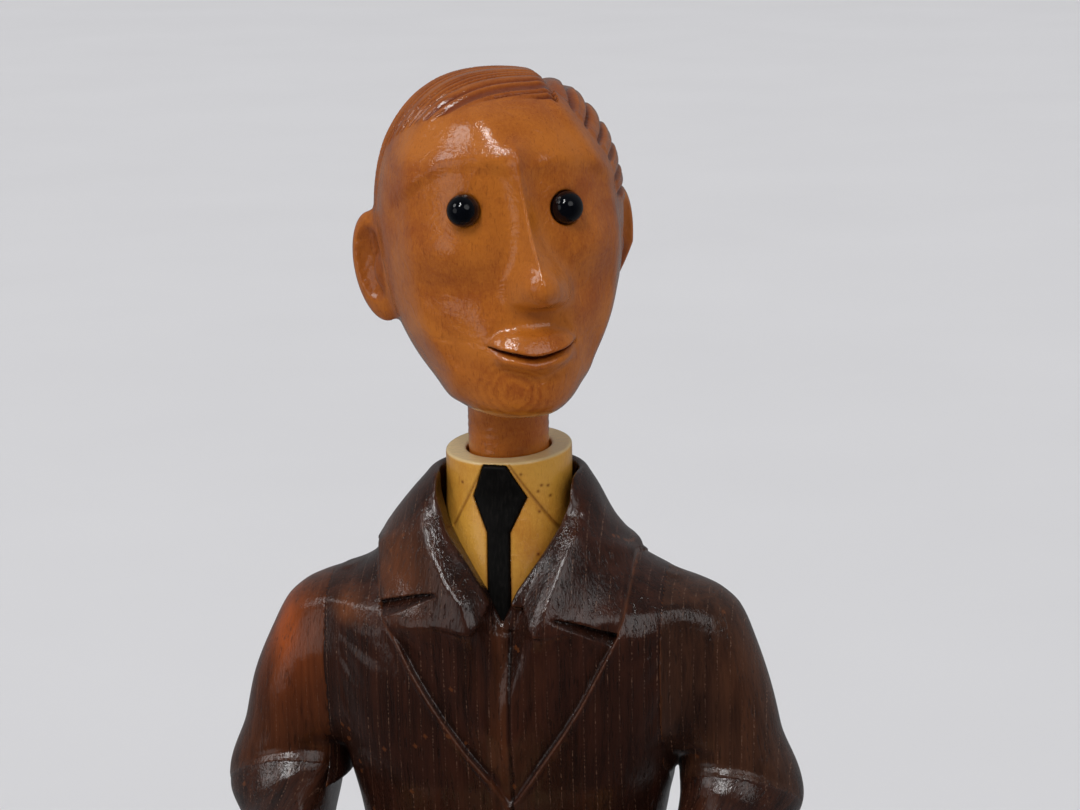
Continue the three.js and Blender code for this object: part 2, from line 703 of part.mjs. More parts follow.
function foreSleeve(sign) {
  const { elbow, forward, mitre } = armLine(sign);
  const w = ARM.width / 2;
  const stations = [
    [-14, w * 0.97, w * 1.03],
    [3, w * 0.97, w * 1.02],
    [14, w * 0.88, w * 0.9],
    [ARM.foreLength - 1, ARM.wrist / 2 + 0.9, ARM.wrist / 2 + 1],
    [ARM.foreLength, ARM.wrist / 2 + 0.5, ARM.wrist / 2 + 0.6],
  ];
  const cutAt = elbow.clone().addScaledVector(mitre, GLUE_GAP / 2);
  return without(
    limb(elbow, forward, stations, 26),
    beyond(cutAt, mitre.clone().negate()),
    hole(elbowDowelEnds(sign), DOWEL.elbow),
    hole(wristDowelEnds(sign), DOWEL.wrist),
  );
}

function cuff(sign) {
  const from = alongForearm(sign, ARM.foreLength + GLUE_GAP);
  const to = alongForearm(sign, ARM.foreLength + GLUE_GAP + CUFF.shows);
  return without(bar(from, to, CUFF.diameter / 2, undefined, 24), hole(wristDowelEnds(sign), DOWEL.wrist));
}

// Hand: a palm beside the board, four fingers under it and the thumb on top.
function hand(sign) {
  const r = HAND.fingerDiameter / 2;
  const edge = COMPUTER.width / 2;
  const start = alongForearm(sign, ARM.foreLength + CUFF.shows + 2 * GLUE_GAP);
  const palmAt = point(sign * (edge + 4.2), gripY, computerLevel + COMPUTER.board / 2);
  const toPalm = palmAt.clone().sub(start);
  const reach = toPalm.length();
  const wristStations = [[-1, 3.7, 3.9], [reach * 0.3, 3.9, 4.6], [reach * 0.7, 3.6, 4.8]];
  const wrist = limb(start, toPalm.normalize(), wristStations, 12);
  const palm = ellipsoid(palmAt, HAND.palmWidth / 2 - 0.3, HAND.length / 2, 6, new THREE.Euler(0.1, 0, 0));
  const fingers = [0, 1, 2, 3].map((i) => {
    const y = gripY + 4.6 - i * (HAND.fingerDiameter + 0.05);
    const z = computerLevel - r - GLUE_GAP;
    const root = point(sign * (edge + 2.6), y, z + 0.6);
    const knuckle = point(sign * (edge + 0.4), y, z - 0.2);
    const tip = point(sign * (edge - 7.5 + Math.abs(i - 1.2)), y, z - 0.1);
    return joined(
      bar(root, knuckle, r, undefined, 7),
      ellipsoid(knuckle, r, r, r, new THREE.Euler(), 7),
      bar(knuckle, tip, r, r * 0.9, 7),
      ellipsoid(tip, r * 0.9, r * 0.9, r * 0.9, new THREE.Euler(), 7),
    );
  });
  const thumbZ = computerLevel + COMPUTER.board + GLUE_GAP + 1.9;
  const thumbRoot = point(sign * (edge + 3.4), gripY + 3, thumbZ - 0.2);
  const thumbTip = point(sign * (edge - 4.6), gripY - 3.6, thumbZ);
  const thumb = joined(
    bar(thumbRoot, thumbTip, 2, 1.7, 9),
    ellipsoid(thumbTip, 1.7, 1.7, 1.7, new THREE.Euler(), 8),
  );
  const board = block(
    point(0, gripY, computerLevel + COMPUTER.board / 2),
    COMPUTER.width + 2 * GLUE_GAP,
    80,
    COMPUTER.board + 2 * GLUE_GAP,
  );
  const whole = joined(wrist, palm, ...fingers, thumb);
  const behind = beyond(start, armLine(sign).forward.negate());
  return without(whole, board, behind, hole(wristDowelEnds(sign), DOWEL.wrist));
}

// Portable computer: two boards, each with a panel let into it
const boardBack = gripY + 9.5;
const boardFront = boardBack - COMPUTER.depth;
const boardTop = computerLevel + COMPUTER.board;
const panelMiddle = -PANEL.depth + PANEL.thickness / 2 + 0.3; // below the face it is let into
const keysWide = COMPUTER.width - 14;
const keysY = boardFront + 9.4;

function computerBase() {
  const c = point(0, (boardBack + boardFront) / 2, computerLevel + COMPUTER.board / 2);
  const slab = block(c, COMPUTER.width, COMPUTER.depth, COMPUTER.board);
  const wide = keysWide + 2 * GLUE_GAP;
  const recess = block(point(0, keysY, boardTop), wide, PANEL.keysDeep + 2 * GLUE_GAP, 2 * PANEL.depth);
  return without(slab, recess);
}

// As many rows and columns of keys as the panel has room for.
function keyPanel() {
  const { keyPitch, keySize, keysDeep, thickness } = PANEL;
  const plate = block(point(0, keysY, boardTop + panelMiddle), keysWide, keysDeep, thickness);
  const rows = Math.floor(keysDeep / keyPitch);
  const columns = Math.floor(keysWide / keyPitch);
  const keys = [];
  for (let row = 0; row < rows; row += 1) {
    for (let column = 0; column < columns; column += 1) {
      const x = (column - (columns - 1) / 2) * keyPitch;
      const y = keysY + (row - (rows - 1) / 2) * keyPitch;
      keys.push(block(point(x, y, boardTop - 0.1), keySize, keySize, 1));
    }
  }
  return joined(plate, ...keys);
}

// The lid stands on the far edge of the base board and leans away from the man.
const lidGroup = new THREE.Group();
lidGroup.position.set(0, boardFront + 2.4, boardTop + GLUE_GAP + 0.8);
lidGroup.rotation.x = THREE.MathUtils.degToRad(COMPUTER.lidTilt);
const lidFrame = 3.5; // the wood left round the screen
const lidFace = COMPUTER.lidBoard / 2;
const screenLevel = COMPUTER.lidHeight / 2 + 0.5;

function computerLid() {
  const { width, lidBoard, lidHeight } = COMPUTER;
  const border = 2 * (lidFrame - GLUE_GAP);
  const slab = block(point(0, 0, lidHeight / 2), width, lidBoard, lidHeight);
  const recess = block(point(0, lidFace, screenLevel), width - border, 2 * PANEL.depth, lidHeight - border);
  return without(slab, recess);
}

function screenPanel() {
  const wide = COMPUTER.width - 2 * lidFrame;
  const high = COMPUTER.lidHeight - 2 * lidFrame;
  return block(point(0, lidFace + panelMiddle, screenLevel), wide, PANEL.thickness, high);
}

// Assembly
addPiece("base_plinth", plinth(), walnutBoard);
addPiece("coat_body", coatBody(), darkWood);
addPiece("shirt_collar", shirtCollar(), creamWood);
addPiece("tie", tie(), blackPaint);
addPiece("top_button", button(buttonLevel), blackPaint);
addPiece("lower_button", button(buttonLevel - BUTTON.spacing), blackPaint);
addPiece("neck_peg", bar(...pegEnds, DOWEL.neck / 2), plainDowel);
addPiece("head", head(), honeyWood);
for (const { name, sign } of SIDES_OF_THE_MAN) {
  addPiece(name + "_base_screw", baseScrew(sign), brass);
  addPiece(name + "_shoe", shoe(sign), blackPaint);
  addPiece(name + "_ankle_dowel", bar(...ankleDowelEnds(sign), DOWEL.ankle / 2), plainDowel);
  addPiece(name + "_trouser_leg", trouserLeg(sign), trouserWood);
  addPiece(name + "_hip_dowel", bar(...hipDowelEnds(sign), DOWEL.hip / 2), plainDowel);
  addPiece(name + "_shoulder_dowel", bar(...shoulderDowelEnds(sign), DOWEL.shoulder / 2), plainDowel);
  addPiece(name + "_upper_sleeve", upperSleeve(sign), darkWood);
  addPiece(name + "_elbow_dowel", bar(...elbowDowelEnds(sign), DOWEL.elbow / 2), plainDowel);
  addPiece(name + "_fore_sleeve", foreSleeve(sign), darkWood);
  addPiece(name + "_wrist_dowel", bar(...wristDowelEnds(sign), DOWEL.wrist / 2), plainDowel);
  addPiece(name + "_cuff", cuff(sign), creamWood);
  addPiece(name + "_hand", hand(sign), honeyWood);
  addPiece(name + "_eye", eye(sign), blackGlass);
}
addPiece("computer_base", computerBase(), walnutBoard);
addPiece("computer_keys", keyPanel(), creamWood);
addPiece("computer_lid", computerLid(), walnutBoard, lidGroup);
addPiece("computer_screen", screenPanel(), blackPaint, lidGroup);
figure.add(lidGroup);

export default figure;
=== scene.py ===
import math
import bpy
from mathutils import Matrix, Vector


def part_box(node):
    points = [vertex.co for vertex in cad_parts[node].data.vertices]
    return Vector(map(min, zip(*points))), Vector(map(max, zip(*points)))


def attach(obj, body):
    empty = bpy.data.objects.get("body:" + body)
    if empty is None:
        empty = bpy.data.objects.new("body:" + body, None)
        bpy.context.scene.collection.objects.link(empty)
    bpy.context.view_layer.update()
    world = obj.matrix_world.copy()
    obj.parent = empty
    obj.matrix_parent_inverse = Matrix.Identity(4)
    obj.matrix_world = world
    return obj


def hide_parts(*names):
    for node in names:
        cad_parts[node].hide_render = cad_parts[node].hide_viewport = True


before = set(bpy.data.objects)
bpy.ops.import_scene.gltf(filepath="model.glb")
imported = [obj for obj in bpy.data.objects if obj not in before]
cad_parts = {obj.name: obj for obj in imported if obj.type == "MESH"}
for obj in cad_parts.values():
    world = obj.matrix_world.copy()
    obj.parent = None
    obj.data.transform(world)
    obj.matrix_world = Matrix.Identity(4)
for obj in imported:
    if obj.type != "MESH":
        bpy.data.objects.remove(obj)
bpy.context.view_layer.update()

from concurrent.futures import ThreadPoolExecutor

import bmesh
import bpy
import numpy as np
import openvdb
from mathutils import Matrix, Vector

# The carved pieces are sculpted in millimetres, in the frame's own axes: the man faces -Y and his
# left side is +X. Each one is a signed distance function of numpy arrays x, y, z.
MM = 0.001
COARSE = 1.0
BLOCK = 8  # points of the grid per block and axis
WORKERS = 4


def box_mm(node):
    low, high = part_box(node)
    return np.array(low) / MM, np.array(high) / MM


# Landmarks: levels in Z, apart from the board's edge and the sleeves' seats, which are places in X
HALF_GAP = 0.15  # the CAD keeps glued pieces twice this apart
HEM = box_mm("coat_body")[0][2]
COAT_TOP = box_mm("coat_body")[1][2] - HALF_GAP
SHOULDER = HEM + 69  # the line that the coat's upper part is measured from
ARMPIT = SHOULDER - 28.5
WAIST = HEM + 24.2  # the sleeves hang free of the coat below it
RIM = box_mm("shirt_collar")[1][2]
CHIN = RIM + 8.3
SOLE = box_mm("left_shoe")[0][2]
TROUSER_FOOT = box_mm("left_trouser_leg")[0][2]
BOARD_LOW, BOARD_HIGH = box_mm("computer_base")
BOARD_EDGE = BOARD_HIGH[0]
BOARD_UNDER = BOARD_LOW[2]
BOARD_TOP = BOARD_HIGH[2]
# How far out the sleeves are glued on, by the side's sign: 1 is the man's left and -1 his right
SEATS = {
    1: box_mm("left_upper_sleeve")[0][0] - HALF_GAP,
    -1: -box_mm("right_upper_sleeve")[1][0] - HALF_GAP,
}
SEAT_MIDDLE = (SEATS[1] + SEATS[-1]) / 2


# Curves and distances

CURVE_STEPS = 400
TINY = 1e-4  # keeps powers of 0 out of the formulas


def curve(*points):
    """A smooth curve through (position, value) pairs that doesn't overshoot them."""
    at, value = np.array(points, float).T
    step = np.diff(at)
    slope = np.diff(value) / step
    before, after = slope[:-1], slope[1:]
    same = before * after > 0
    tangent = np.zeros(len(at))
    tangent[1:-1][same] = 2 * before[same] * after[same] / (before[same] + after[same])
    tangent[0], tangent[-1] = slope[0], slope[-1]
    fine = np.linspace(at[0], at[-1], CURVE_STEPS)
    i = np.clip(np.searchsorted(at, fine, side="right") - 1, 0, len(step) - 1)
    t = (fine - at[i]) / step[i]
    table = value[i] + (value[i + 1] - value[i]) * t * t * (3 - 2 * t)
    table += step[i] * t * (1 - t) * ((1 - t) * tangent[i] - t * tangent[i + 1])
    return lambda s: np.interp(s, fine, table).astype(np.float32)


def curves(rows, *scales, along=1):
    """A curve for each further column of the rows, over the first column, each with its scale."""
    at, *columns = np.array(rows, float).T
    return [curve(*zip(at * along, column * scale)) for column, scale in zip(columns, scales)]


def ramp(value, start, end):
    """Smoothly from 0 at start to 1 at end."""
    t = np.clip((value - start) / (end - start), 0, 1)
    return t * t * (3 - 2 * t)


def fade(value, start, end):
    """Smoothly from 1 at start to 0 at end."""
    return 1 - ramp(value, start, end)


def bump(value, width):
    return np.exp(-((value / width) ** 2))


def dome(x, z, at, wide, high):
    return np.exp(-(((x - at[0]) / wide) ** 2) - ((z - at[1]) / high) ** 2)


def join(a, b, soft=0.0):
    """The nearer of two distances, blended where they are within soft of each other."""
    h = np.maximum(soft - np.abs(a - b), 0)
    return np.minimum(a, b) - h * h / np.maximum(4 * soft, 1e-6)


def both(a, b, soft=0.0):
    return -join(-a, -b, soft)


def cut(a, b, soft=0.0):
    return both(a, -b, soft)


def rounded(offsets, radii, square):
    """Distance to an ellipse or ellipsoid round 0, which gets boxier as square goes up from 2."""
    shares = [np.abs(offset / radius) + TINY for offset, radius in zip(offsets, radii)]
    size = sum(share**square for share in shares) ** (1 / square)
    slopes = [share ** (square - 1) / radius for share, radius in zip(shares, radii)]
    steep = size ** (1 - square) * np.sqrt(sum(slope * slope for slope in slopes))
    return (size - 1) / steep


def oval(x, y, wide, deep, square=2.0):
    return rounded((x, y), (wide, deep), square)


def egg(x, y, z, centre, radii, square=2.0):
    return rounded((x - centre[0], y - centre[1], z - centre[2]), radii, square)


def beyond(x, y, z, origin, direction):
    """How far each point lies past the origin in a direction, times the direction's length."""
    return sum((at - origin[i]) * direction[i] for i, at in enumerate((x, y, z)))


def rod(x, y, z, start, end, radius, end_radius=None):
    """A rod with round ends, whose radius may change from its start to its end."""
    line = np.subtract(end, start)
    t = np.clip(beyond(x, y, z, start, line) / float(np.dot(line, line)), 0, 1)
    far = np.sqrt(sum((at - start[i] - t * line[i]) ** 2 for i, at in enumerate((x, y, z))))
    end_radius = radius if end_radius is None else end_radius
    return far - (radius + (end_radius - radius) * t)


def outline(u, v, points):
    """Distance to a closed outline in the plane, negative inside it."""
    best = np.full(u.shape, 1e9, np.float32)
    inside = np.zeros(u.shape, bool)
    for (ax, ay), (bx, by) in zip(points, points[1:] + points[:1]):
        ex, ey = bx - ax, by - ay
        t = np.clip(((u - ax) * ex + (v - ay) * ey) / (ex * ex + ey * ey), 0, 1)
        best = np.minimum(best, (u - ax - t * ex) ** 2 + (v - ay - t * ey) ** 2)
        if ey:
            crosses = ((ay > v) != (by > v)) & (u < ex * (v - ay) / ey + ax)
            inside ^= crosses
    return np.where(inside, -1, 1) * np.sqrt(best)


def scratch_line(u, v, start, end):
    """Distance in the plane from a straight scratch, and the place along it from 0 to 1."""
    ex, ey = end[0] - start[0], end[1] - start[1]
    t = np.clip(((u - start[0]) * ex + (v - start[1]) * ey) / (ex * ex + ey * ey), 0, 1)
    return np.hypot(u - start[0] - t * ex, v - start[1] - t * ey), t


# Meshing a carving

CHUNK = 200000  # points worked out in one go


def in_pieces(shape, points):
    chunks = np.array_split(points, max(1, len(points) // CHUNK))
    with ThreadPoolExecutor(WORKERS) as pool:
        parts = list(pool.map(lambda p: shape(*p.T).astype(np.float32), chunks))
    return np.concatenate(parts)


def field_of(shape, low, counts, cell):
    """The distance at each grid point, worked out fully only in the blocks near the surface."""
    blocks = counts // BLOCK
    index = np.indices(blocks).reshape(3, -1).T
    centres = (low + (index * BLOCK + (BLOCK - 1) / 2) * cell).astype(np.float32)
    rough = in_pieces(shape, centres)
    background = 3 * cell
    field = np.where(rough > 0, background, -background).astype(np.float32)
    field = field.reshape(blocks).repeat(BLOCK, 0).repeat(BLOCK, 1).repeat(BLOCK, 2)
    reach = 1.5 * BLOCK * cell + 1  # a block's half diagonal, with room for rough distances
    near = np.abs(rough) < reach
    corner = np.indices((BLOCK,) * 3).reshape(3, -1).T
    picked = index[near]
    points = (low + (picked[:, None, :] * BLOCK + corner) * cell).reshape(-1, 3).astype(np.float32)
    values = in_pieces(shape, points).clip(-background, background)
    split = field.reshape(blocks[0], BLOCK, blocks[1], BLOCK, blocks[2], BLOCK)
    split[picked[:, 0], :, picked[:, 1], :, picked[:, 2], :] = values.reshape(-1, BLOCK, BLOCK, BLOCK)
    return field, background


def settled(shape, points, cell):
    """Moves the points of a rough surface onto the exact one, by small steps."""
    nudge = 0.12 * cell
    longest = 0.6 * cell
    flattest = 0.05  # keeps a level field from throwing a point far off
    for _ in range(2):
        here = in_pieces(shape, points)
        aside = [in_pieces(shape, points + nudge * axis) for axis in np.eye(3, dtype=np.float32)]
        slope = (np.stack(aside, 1) - here[:, None]) / nudge
        size = (slope**2).sum(1, keepdims=True) + flattest
        points = points - np.clip(here[:, None] * slope / size, -longest, longest)
    return points


def main_shell(points, quads):
    """Leaves out crumbs: the faces that don't hang together with the largest surface."""
    label = np.arange(len(points))
    while True:
        lowest = np.repeat(label[quads].min(1), 4)
        lower = label.copy()
        np.minimum.at(lower, quads.ravel(), lowest)
        np.minimum.at(lower, label[quads].ravel(), lowest)
        lower = lower[lower]
        if np.array_equal(lower, label):
            break
        label = lower
    kept = quads[label[quads[:, 0]] == np.bincount(label).argmax()]
    used, corners = np.unique(kept, return_inverse=True)
    return points[used], corners.reshape(-1, 4)


def carve(name, shape, low, high, cell, stain_and_painted_light=None):
    """A mesh object of the surface where shape is zero, and its stain with painted light and shade as a
    vertex value.
    """
    cell *= COARSE
    low = np.array(low, np.float32)
    counts = (np.ceil((np.array(high) - low) / (cell * BLOCK)).astype(int) + 1) * BLOCK
    field, background = field_of(shape, low, counts, cell)
    grid = openvdb.FloatGrid(background=background)
    grid.copyFromArray(field)
    points, quads = main_shell(*grid.convertToQuads(isovalue=0.0))
    points = settled(shape, (low + points * cell).astype(np.float32), cell)
    mesh = bpy.data.meshes.new(name)
    mesh.vertices.add(len(points))
    mesh.vertices.foreach_set("co", (points * MM).ravel())
    mesh.loops.add(quads.size)
    mesh.loops.foreach_set("vertex_index", quads.astype(np.int32).ravel())
    mesh.polygons.add(len(quads))
    mesh.polygons.foreach_set("loop_start", np.arange(0, quads.size, 4, dtype=np.int32))
    mesh.update(calc_edges=True)
    mesh.validate()
    mesh.shade_smooth()
    if stain_and_painted_light:
        layer = mesh.attributes.new("stain_and_painted_light", "FLOAT", "POINT")
        layer.data.foreach_set("value", in_pieces(stain_and_painted_light, points))
    piece = bpy.data.objects.new(name, mesh)
    bpy.context.scene.collection.objects.link(piece)
    return piece


def place(piece, body, material, slot, node):
    """Gives a piece its material and its body, and hides the CAD node that it stands for."""
    piece.data.materials.clear()
    piece.data.materials.append(material)
    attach(piece, body)
    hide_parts(node)


# Materials

def linear(screen_colour):
    """The shader's values for a colour as it looks on screen: red, green and blue, 0 to 255."""
    shares = [c / 255 for c in screen_colour]
    return (*[c / 12.92 if c <= 0.04045 else ((c + 0.055) / 1.055) ** 2.4 for c in shares], 1)


class Nodes:
    """A short way to add and link the shader nodes of a material or a world."""

    def __init__(self, owner, shader="Principled BSDF"):
        owner.use_nodes = True
        self.owner = owner
        self.tree = owner.node_tree
        self.shader = self.tree.nodes[shader]

    def add(self, kind, inputs=None, output=0, **settings):
        """Adds a node and gives one of its outputs."""
        node = self.tree.nodes.new(kind)
        for key, value in settings.items():
            setattr(node, key, value)
        for key, value in (inputs or {}).items():
            self.feed(node.inputs[key], value)
        return node.outputs[output]

    def feed(self, socket, value):
        if isinstance(value, bpy.types.NodeSocket):
            self.tree.links.new(value, socket)
        else:
            socket.default_value = value

    def set(self, **values):
        """Feeds the shader's inputs, whose spaces are written as _."""
        for key, value in values.items():
            self.feed(self.shader.inputs[key.replace("_", " ")], value)

    def math(self, operation, *values, clamp=False):
        return self.add("ShaderNodeMath", dict(enumerate(values)), operation=operation, use_clamp=clamp)

    def times(self, a, b, clamp=False):
        return self.math("MULTIPLY", a, b, clamp=clamp)

    def total(self, *terms):
        """The sum of values that are given with their weights."""
        result = 0.0
        for value, weight in terms:
            result = self.math("MULTIPLY_ADD", value, weight, result)
        return result

    def mix(self, factor, a, b, blend="MIX"):
        """Mixes two colours, each a socket or a colour on screen."""
        a, b = (linear(c) if isinstance(c, tuple) else c for c in (a, b))
        return self.add("ShaderNodeMix", {"Factor": factor, "A": a, "B": b}, "Result",
                        data_type="RGBA", blend_type=blend)

    def levels(self, value, low, high, to_low=0.0, to_high=1.0):
        return self.add("ShaderNodeMapRange", {
            "Value": value, "From Min": low, "From Max": high, "To Min": to_low, "To Max": to_high,
        }, "Result", interpolation_type="SMOOTHSTEP")

    def noise(self, vector, scale, detail=4.0, rough=0.55, distortion=0.0):
        return self.add("ShaderNodeTexNoise", {
            "Vector": vector, "Scale": scale, "Detail": detail, "Roughness": rough, "Distortion": distortion,
        }, "Fac")

    def relief(self, height, strength, distance):
        return self.add("ShaderNodeBump", {"Height": height, "Strength": strength, "Distance": distance})

    def grain(self, stretch=1.0, turn=(0, 0, 0)):
        """Object coordinates in millimetres, turned so that Z is the grain and drawn out along it."""
        where = self.add("ShaderNodeTexCoord", output="Object")
        turned = self.add("ShaderNodeVectorRotate", {"Vector": where, "Rotation": turn},
                          rotation_type="EULER_XYZ")
        scale = (1 / MM, 1 / MM, stretch / MM)
        return self.add("ShaderNodeVectorMath", {0: turned, 1: scale}, operation="MULTIPLY")

    def pointiness(self, low, high):
        """How far the surface is an edge, or a hollow where low is above high."""
        return self.levels(self.add("ShaderNodeNewGeometry", output="Pointiness"), low, high)

    # The vertex value of real stain, painted light and painted shade.
    def stain_and_painted_light(self):
        return self.add("ShaderNodeAttribute", output="Fac", attribute_name="stain_and_painted_light")


def new_material(name):
    return Nodes(bpy.data.materials.new(name))


def dense_wood(name, pale, deep, turn=(0, 0, 0), gloss=0.1, contrast=1.0, stain_and_shade_tint=None, bare=None,
               swirl=None, hollows=0.5):
    """Close-grained lacquered wood: clouded colour, curly short flecks, soft tool marks and painted shade in
    hollows.
    """
    n = new_material(name)
    mm = n.grain(1, turn)
    cloud = n.noise(mm, 0.07, 3, 0.5, 0.8)
    patch = n.noise(mm, 0.3, 3, 0.6, 1.2)
    curl = n.noise(n.grain(0.3, turn), 2.4, 3, 0.6, 1.6)
    pebble = n.noise(mm, 1.5, 3, 0.6, 0.5)
    fleck = n.levels(n.noise(n.grain(0.2, turn), 3.4, 2, 0.5, 0.6), 0.58, 0.72)
    tone = n.total((cloud, 0.6), (patch, 0.12), (curl, 0.24), (pebble, 0.16))
    if swirl is not None:
        away = n.add("ShaderNodeVectorMath", {0: mm, 1: swirl}, "Value", operation="DISTANCE")
        rings = n.math("SINE", n.total((away, 5.2), (patch, 9.0)))
        tone = n.math("MULTIPLY_ADD", rings, n.levels(away, 2.0, 9.0, 0.055, 0.0), tone)
    base = n.mix(n.levels(tone, 0.42, 0.74), pale, deep)
    base = n.mix(n.times(fleck, 0.3 * contrast), base, (122, 62, 24), "MULTIPLY")
    # Painted shade: darker in the hollows, which pointiness finds.
    base = n.mix(n.times(n.pointiness(0.47, 0.4), hollows), base, (96, 42, 15), "MULTIPLY")
    if stain_and_shade_tint is not None:
        # Tints towards this colour by the vertex value: real stain, and on the head painted shade too.
        amount = n.stain_and_painted_light()
        base = n.mix(n.math("MAXIMUM", amount, 0.0), base, stain_and_shade_tint, "MULTIPLY")
        if bare is not None:
            base = n.mix(n.times(amount, -1.0, clamp=True), base, bare)
    marks = n.noise(n.grain(0.22, (turn[0], turn[1] + math.pi / 2, turn[2])), 1.5, 3, 0.6, 0.4)
    height = n.total((patch, 1.3), (curl, 0.1), (marks, 0.32))
    peel = n.total((height, 1.0), (pebble, 0.4))
    n.set(Base_Color=base, Roughness=0.4, Specular_IOR_Level=0.14, Normal=n.relief(height, 0.4, 0.0003))
    n.set(Coat_Weight=1.0, Coat_Roughness=gloss, Coat_IOR=1.5, Coat_Normal=n.relief(peel, 0.4, 0.0003))
    return n.owner


NEARLY_BLACK = (14, 8, 6)


def open_wood(name, pale, deep, turn=(0, 0, 0), gloss=0.1, pores_and_glints=1.0, warm=None):
    """Dark open-pored wood under lacquer: rows of pores with painted glints, red and black streaks, worn
    edges, and painted shade where the vertex value is below 0.
    """
    n = new_material(name)
    mm = n.grain(1, turn)
    long = n.grain(0.035, turn)
    streak = n.noise(long, 0.4, 5, 0.62, 0.4)
    fine = n.noise(long, 2.2, 4, 0.65)
    cloud = n.noise(mm, 0.05, 2, 0.5, 0.4)
    tone = n.total((streak, 0.62), (fine, 0.3), (cloud, 0.42))
    base = n.mix(n.levels(tone, 0.46, 0.92), deep, pale)
    if warm is not None:
        amount = n.stain_and_painted_light()
        lit = n.times(n.math("MAXIMUM", amount, 0.0), n.levels(streak, 0.3, 0.7, 0.6, 1.0))
        base = n.mix(lit, base, warm)
        # Below 0 the vertex value paints shade, nearly black, into cuts, creases and hollows.
        base = n.mix(n.times(amount, -1.0, clamp=True), base, NEARLY_BLACK)
    pore = n.levels(n.noise(n.grain(0.11, turn), 2.5, 2, 0.5), 0.55, 0.68)
    open_pore = n.times(pore, n.levels(n.noise(long, 0.85, 2, 0.5), 0.42, 0.6))
    base = n.mix(n.times(open_pore, 0.4), base, NEARLY_BLACK)
    # Rows of pale dots along the pores: painted glints of light off the pores.
    row = n.add("ShaderNodeTexWave", {
        "Vector": long, "Scale": 0.17, "Distortion": 1.1, "Detail": 2.0, "Detail Scale": 1.2,
    }, "Fac", bands_direction="X")
    dashes = n.levels(n.noise(n.grain(0.8, turn), 3.6, 2, 0.6), 0.5, 0.6)
    fading = n.levels(n.noise(mm, 0.12, 2, 0.5), 0.4, 0.62, 0.2, 1.0)
    painted_pore_glints = n.times(n.times(n.levels(row, 0.965, 0.997), dashes), fading)
    base = n.mix(n.times(painted_pore_glints, 0.42 * pores_and_glints), base, (142, 108, 88))
    base = n.mix(n.times(n.pointiness(0.53, 0.62), 0.5), base, (112, 62, 30))
    height = n.total((open_pore, -pores_and_glints), (fine, 1.0))
    wavy = n.noise(mm, 0.3, 2, 0.5)
    pebble = n.noise(n.grain(0.22, turn), 3.4, 2, 0.5)
    lacquer = n.total((height, 0.8), (wavy, 0.4), (pebble, 0.55))
    n.set(Base_Color=base, Roughness=0.5, Specular_IOR_Level=0.03, Normal=n.relief(height, 0.8, 0.00014))
    n.set(Coat_Weight=1.0, Coat_Roughness=gloss, Coat_IOR=1.5, Coat_Normal=n.relief(lacquer, 0.4, 0.0002))
    return n.owner


def black_stain():
    n = new_material("matt_black_stain")
    fibre = n.noise(n.grain(0.2), 3.0, 4, 0.6)
    n.set(Base_Color=n.mix(n.levels(fibre, 0.45, 0.8), (9, 8, 7), (22, 19, 17)), Specular_IOR_Level=0.12)
    n.set(Roughness=n.levels(fibre, 0.3, 0.7, 0.42, 0.62), Normal=n.relief(fibre, 0.4, 0.00008))
    return n.owner


def black_bead():
    n = new_material("polished_black_bead")
    smear = n.noise(n.grain(), 0.9, 3, 0.5)
    n.set(Base_Color=n.mix(smear, (3, 4, 7), (10, 12, 18)), Specular_IOR_Level=0.32)
    n.set(Roughness=n.levels(smear, 0.35, 0.75, 0.05, 0.16))
    return n.owner


def brass():
    n = new_material("dulled_brass")
    tarnish = n.noise(n.grain(), 0.8, 4, 0.6)
    n.set(Base_Color=n.mix(tarnish, (190, 160, 92), (120, 92, 48)), Metallic=1.0)
    n.set(Roughness=n.levels(tarnish, 0.3, 0.7, 0.28, 0.5))
    return n.owner


def screen_enamel():
    n = new_material("dark_gloss_enamel")
    mm = n.grain()
    n.set(Base_Color=n.mix(n.noise(mm, 0.12, 3, 0.5), (20, 28, 30), (36, 48, 50)), Coat_Weight=0.6)
    n.set(Roughness=n.levels(n.noise(mm, 0.6, 4, 0.6), 0.3, 0.7, 0.12, 0.24))
    n.set(Normal=n.relief(n.noise(mm, 0.35, 2, 0.5), 0.3, 0.0003))
    return n.owner


def pale_floor():
    n = new_material("pale_floor")
    cloud = n.noise(n.add("ShaderNodeTexCoord", output="Object"), 6.0, 3, 0.5)
    n.set(Base_Color=n.mix(cloud, (221, 220, 221), (227, 226, 227)), Roughness=0.85, Specular_IOR_Level=0.1)
    return n.owner


# Coat body

HALF_DEPTH = 18
TRUNK_ROWS = (  # level above the hem, half width, front and back as shares of the half depth
    (-2, 29.2, 1.04, 1.04),
    (0, 29, 1.03, 1.03),
    (12, 26.6, 0.98, 0.96),
    (24, 24.3, 0.93, 0.86),
    (30, 25.2, 0.94, 0.86),
    (38, 27.2, 0.98, 0.93),
    (48, 30, 1, 1),
    (61, 31, 0.95, 1),
    (65, 31, 0.84, 0.93),
    (67.8, 27.8, 0.68, 0.8),
    (70.2, 23.8, 0.54, 0.68),
    (72.4, 20.5, 0.36, 0.5),
)
trunk_wide, trunk_front, trunk_back = curves(TRUNK_ROWS, 1, HALF_DEPTH, HALF_DEPTH)


def trunk(x, y, z):
    up = z - HEM
    deep = np.where(y < 0, trunk_front(up), trunk_back(up))
    return both(oval(x, y, trunk_wide(up), deep, 2.5), z - SHOULDER - 3.4, 1)


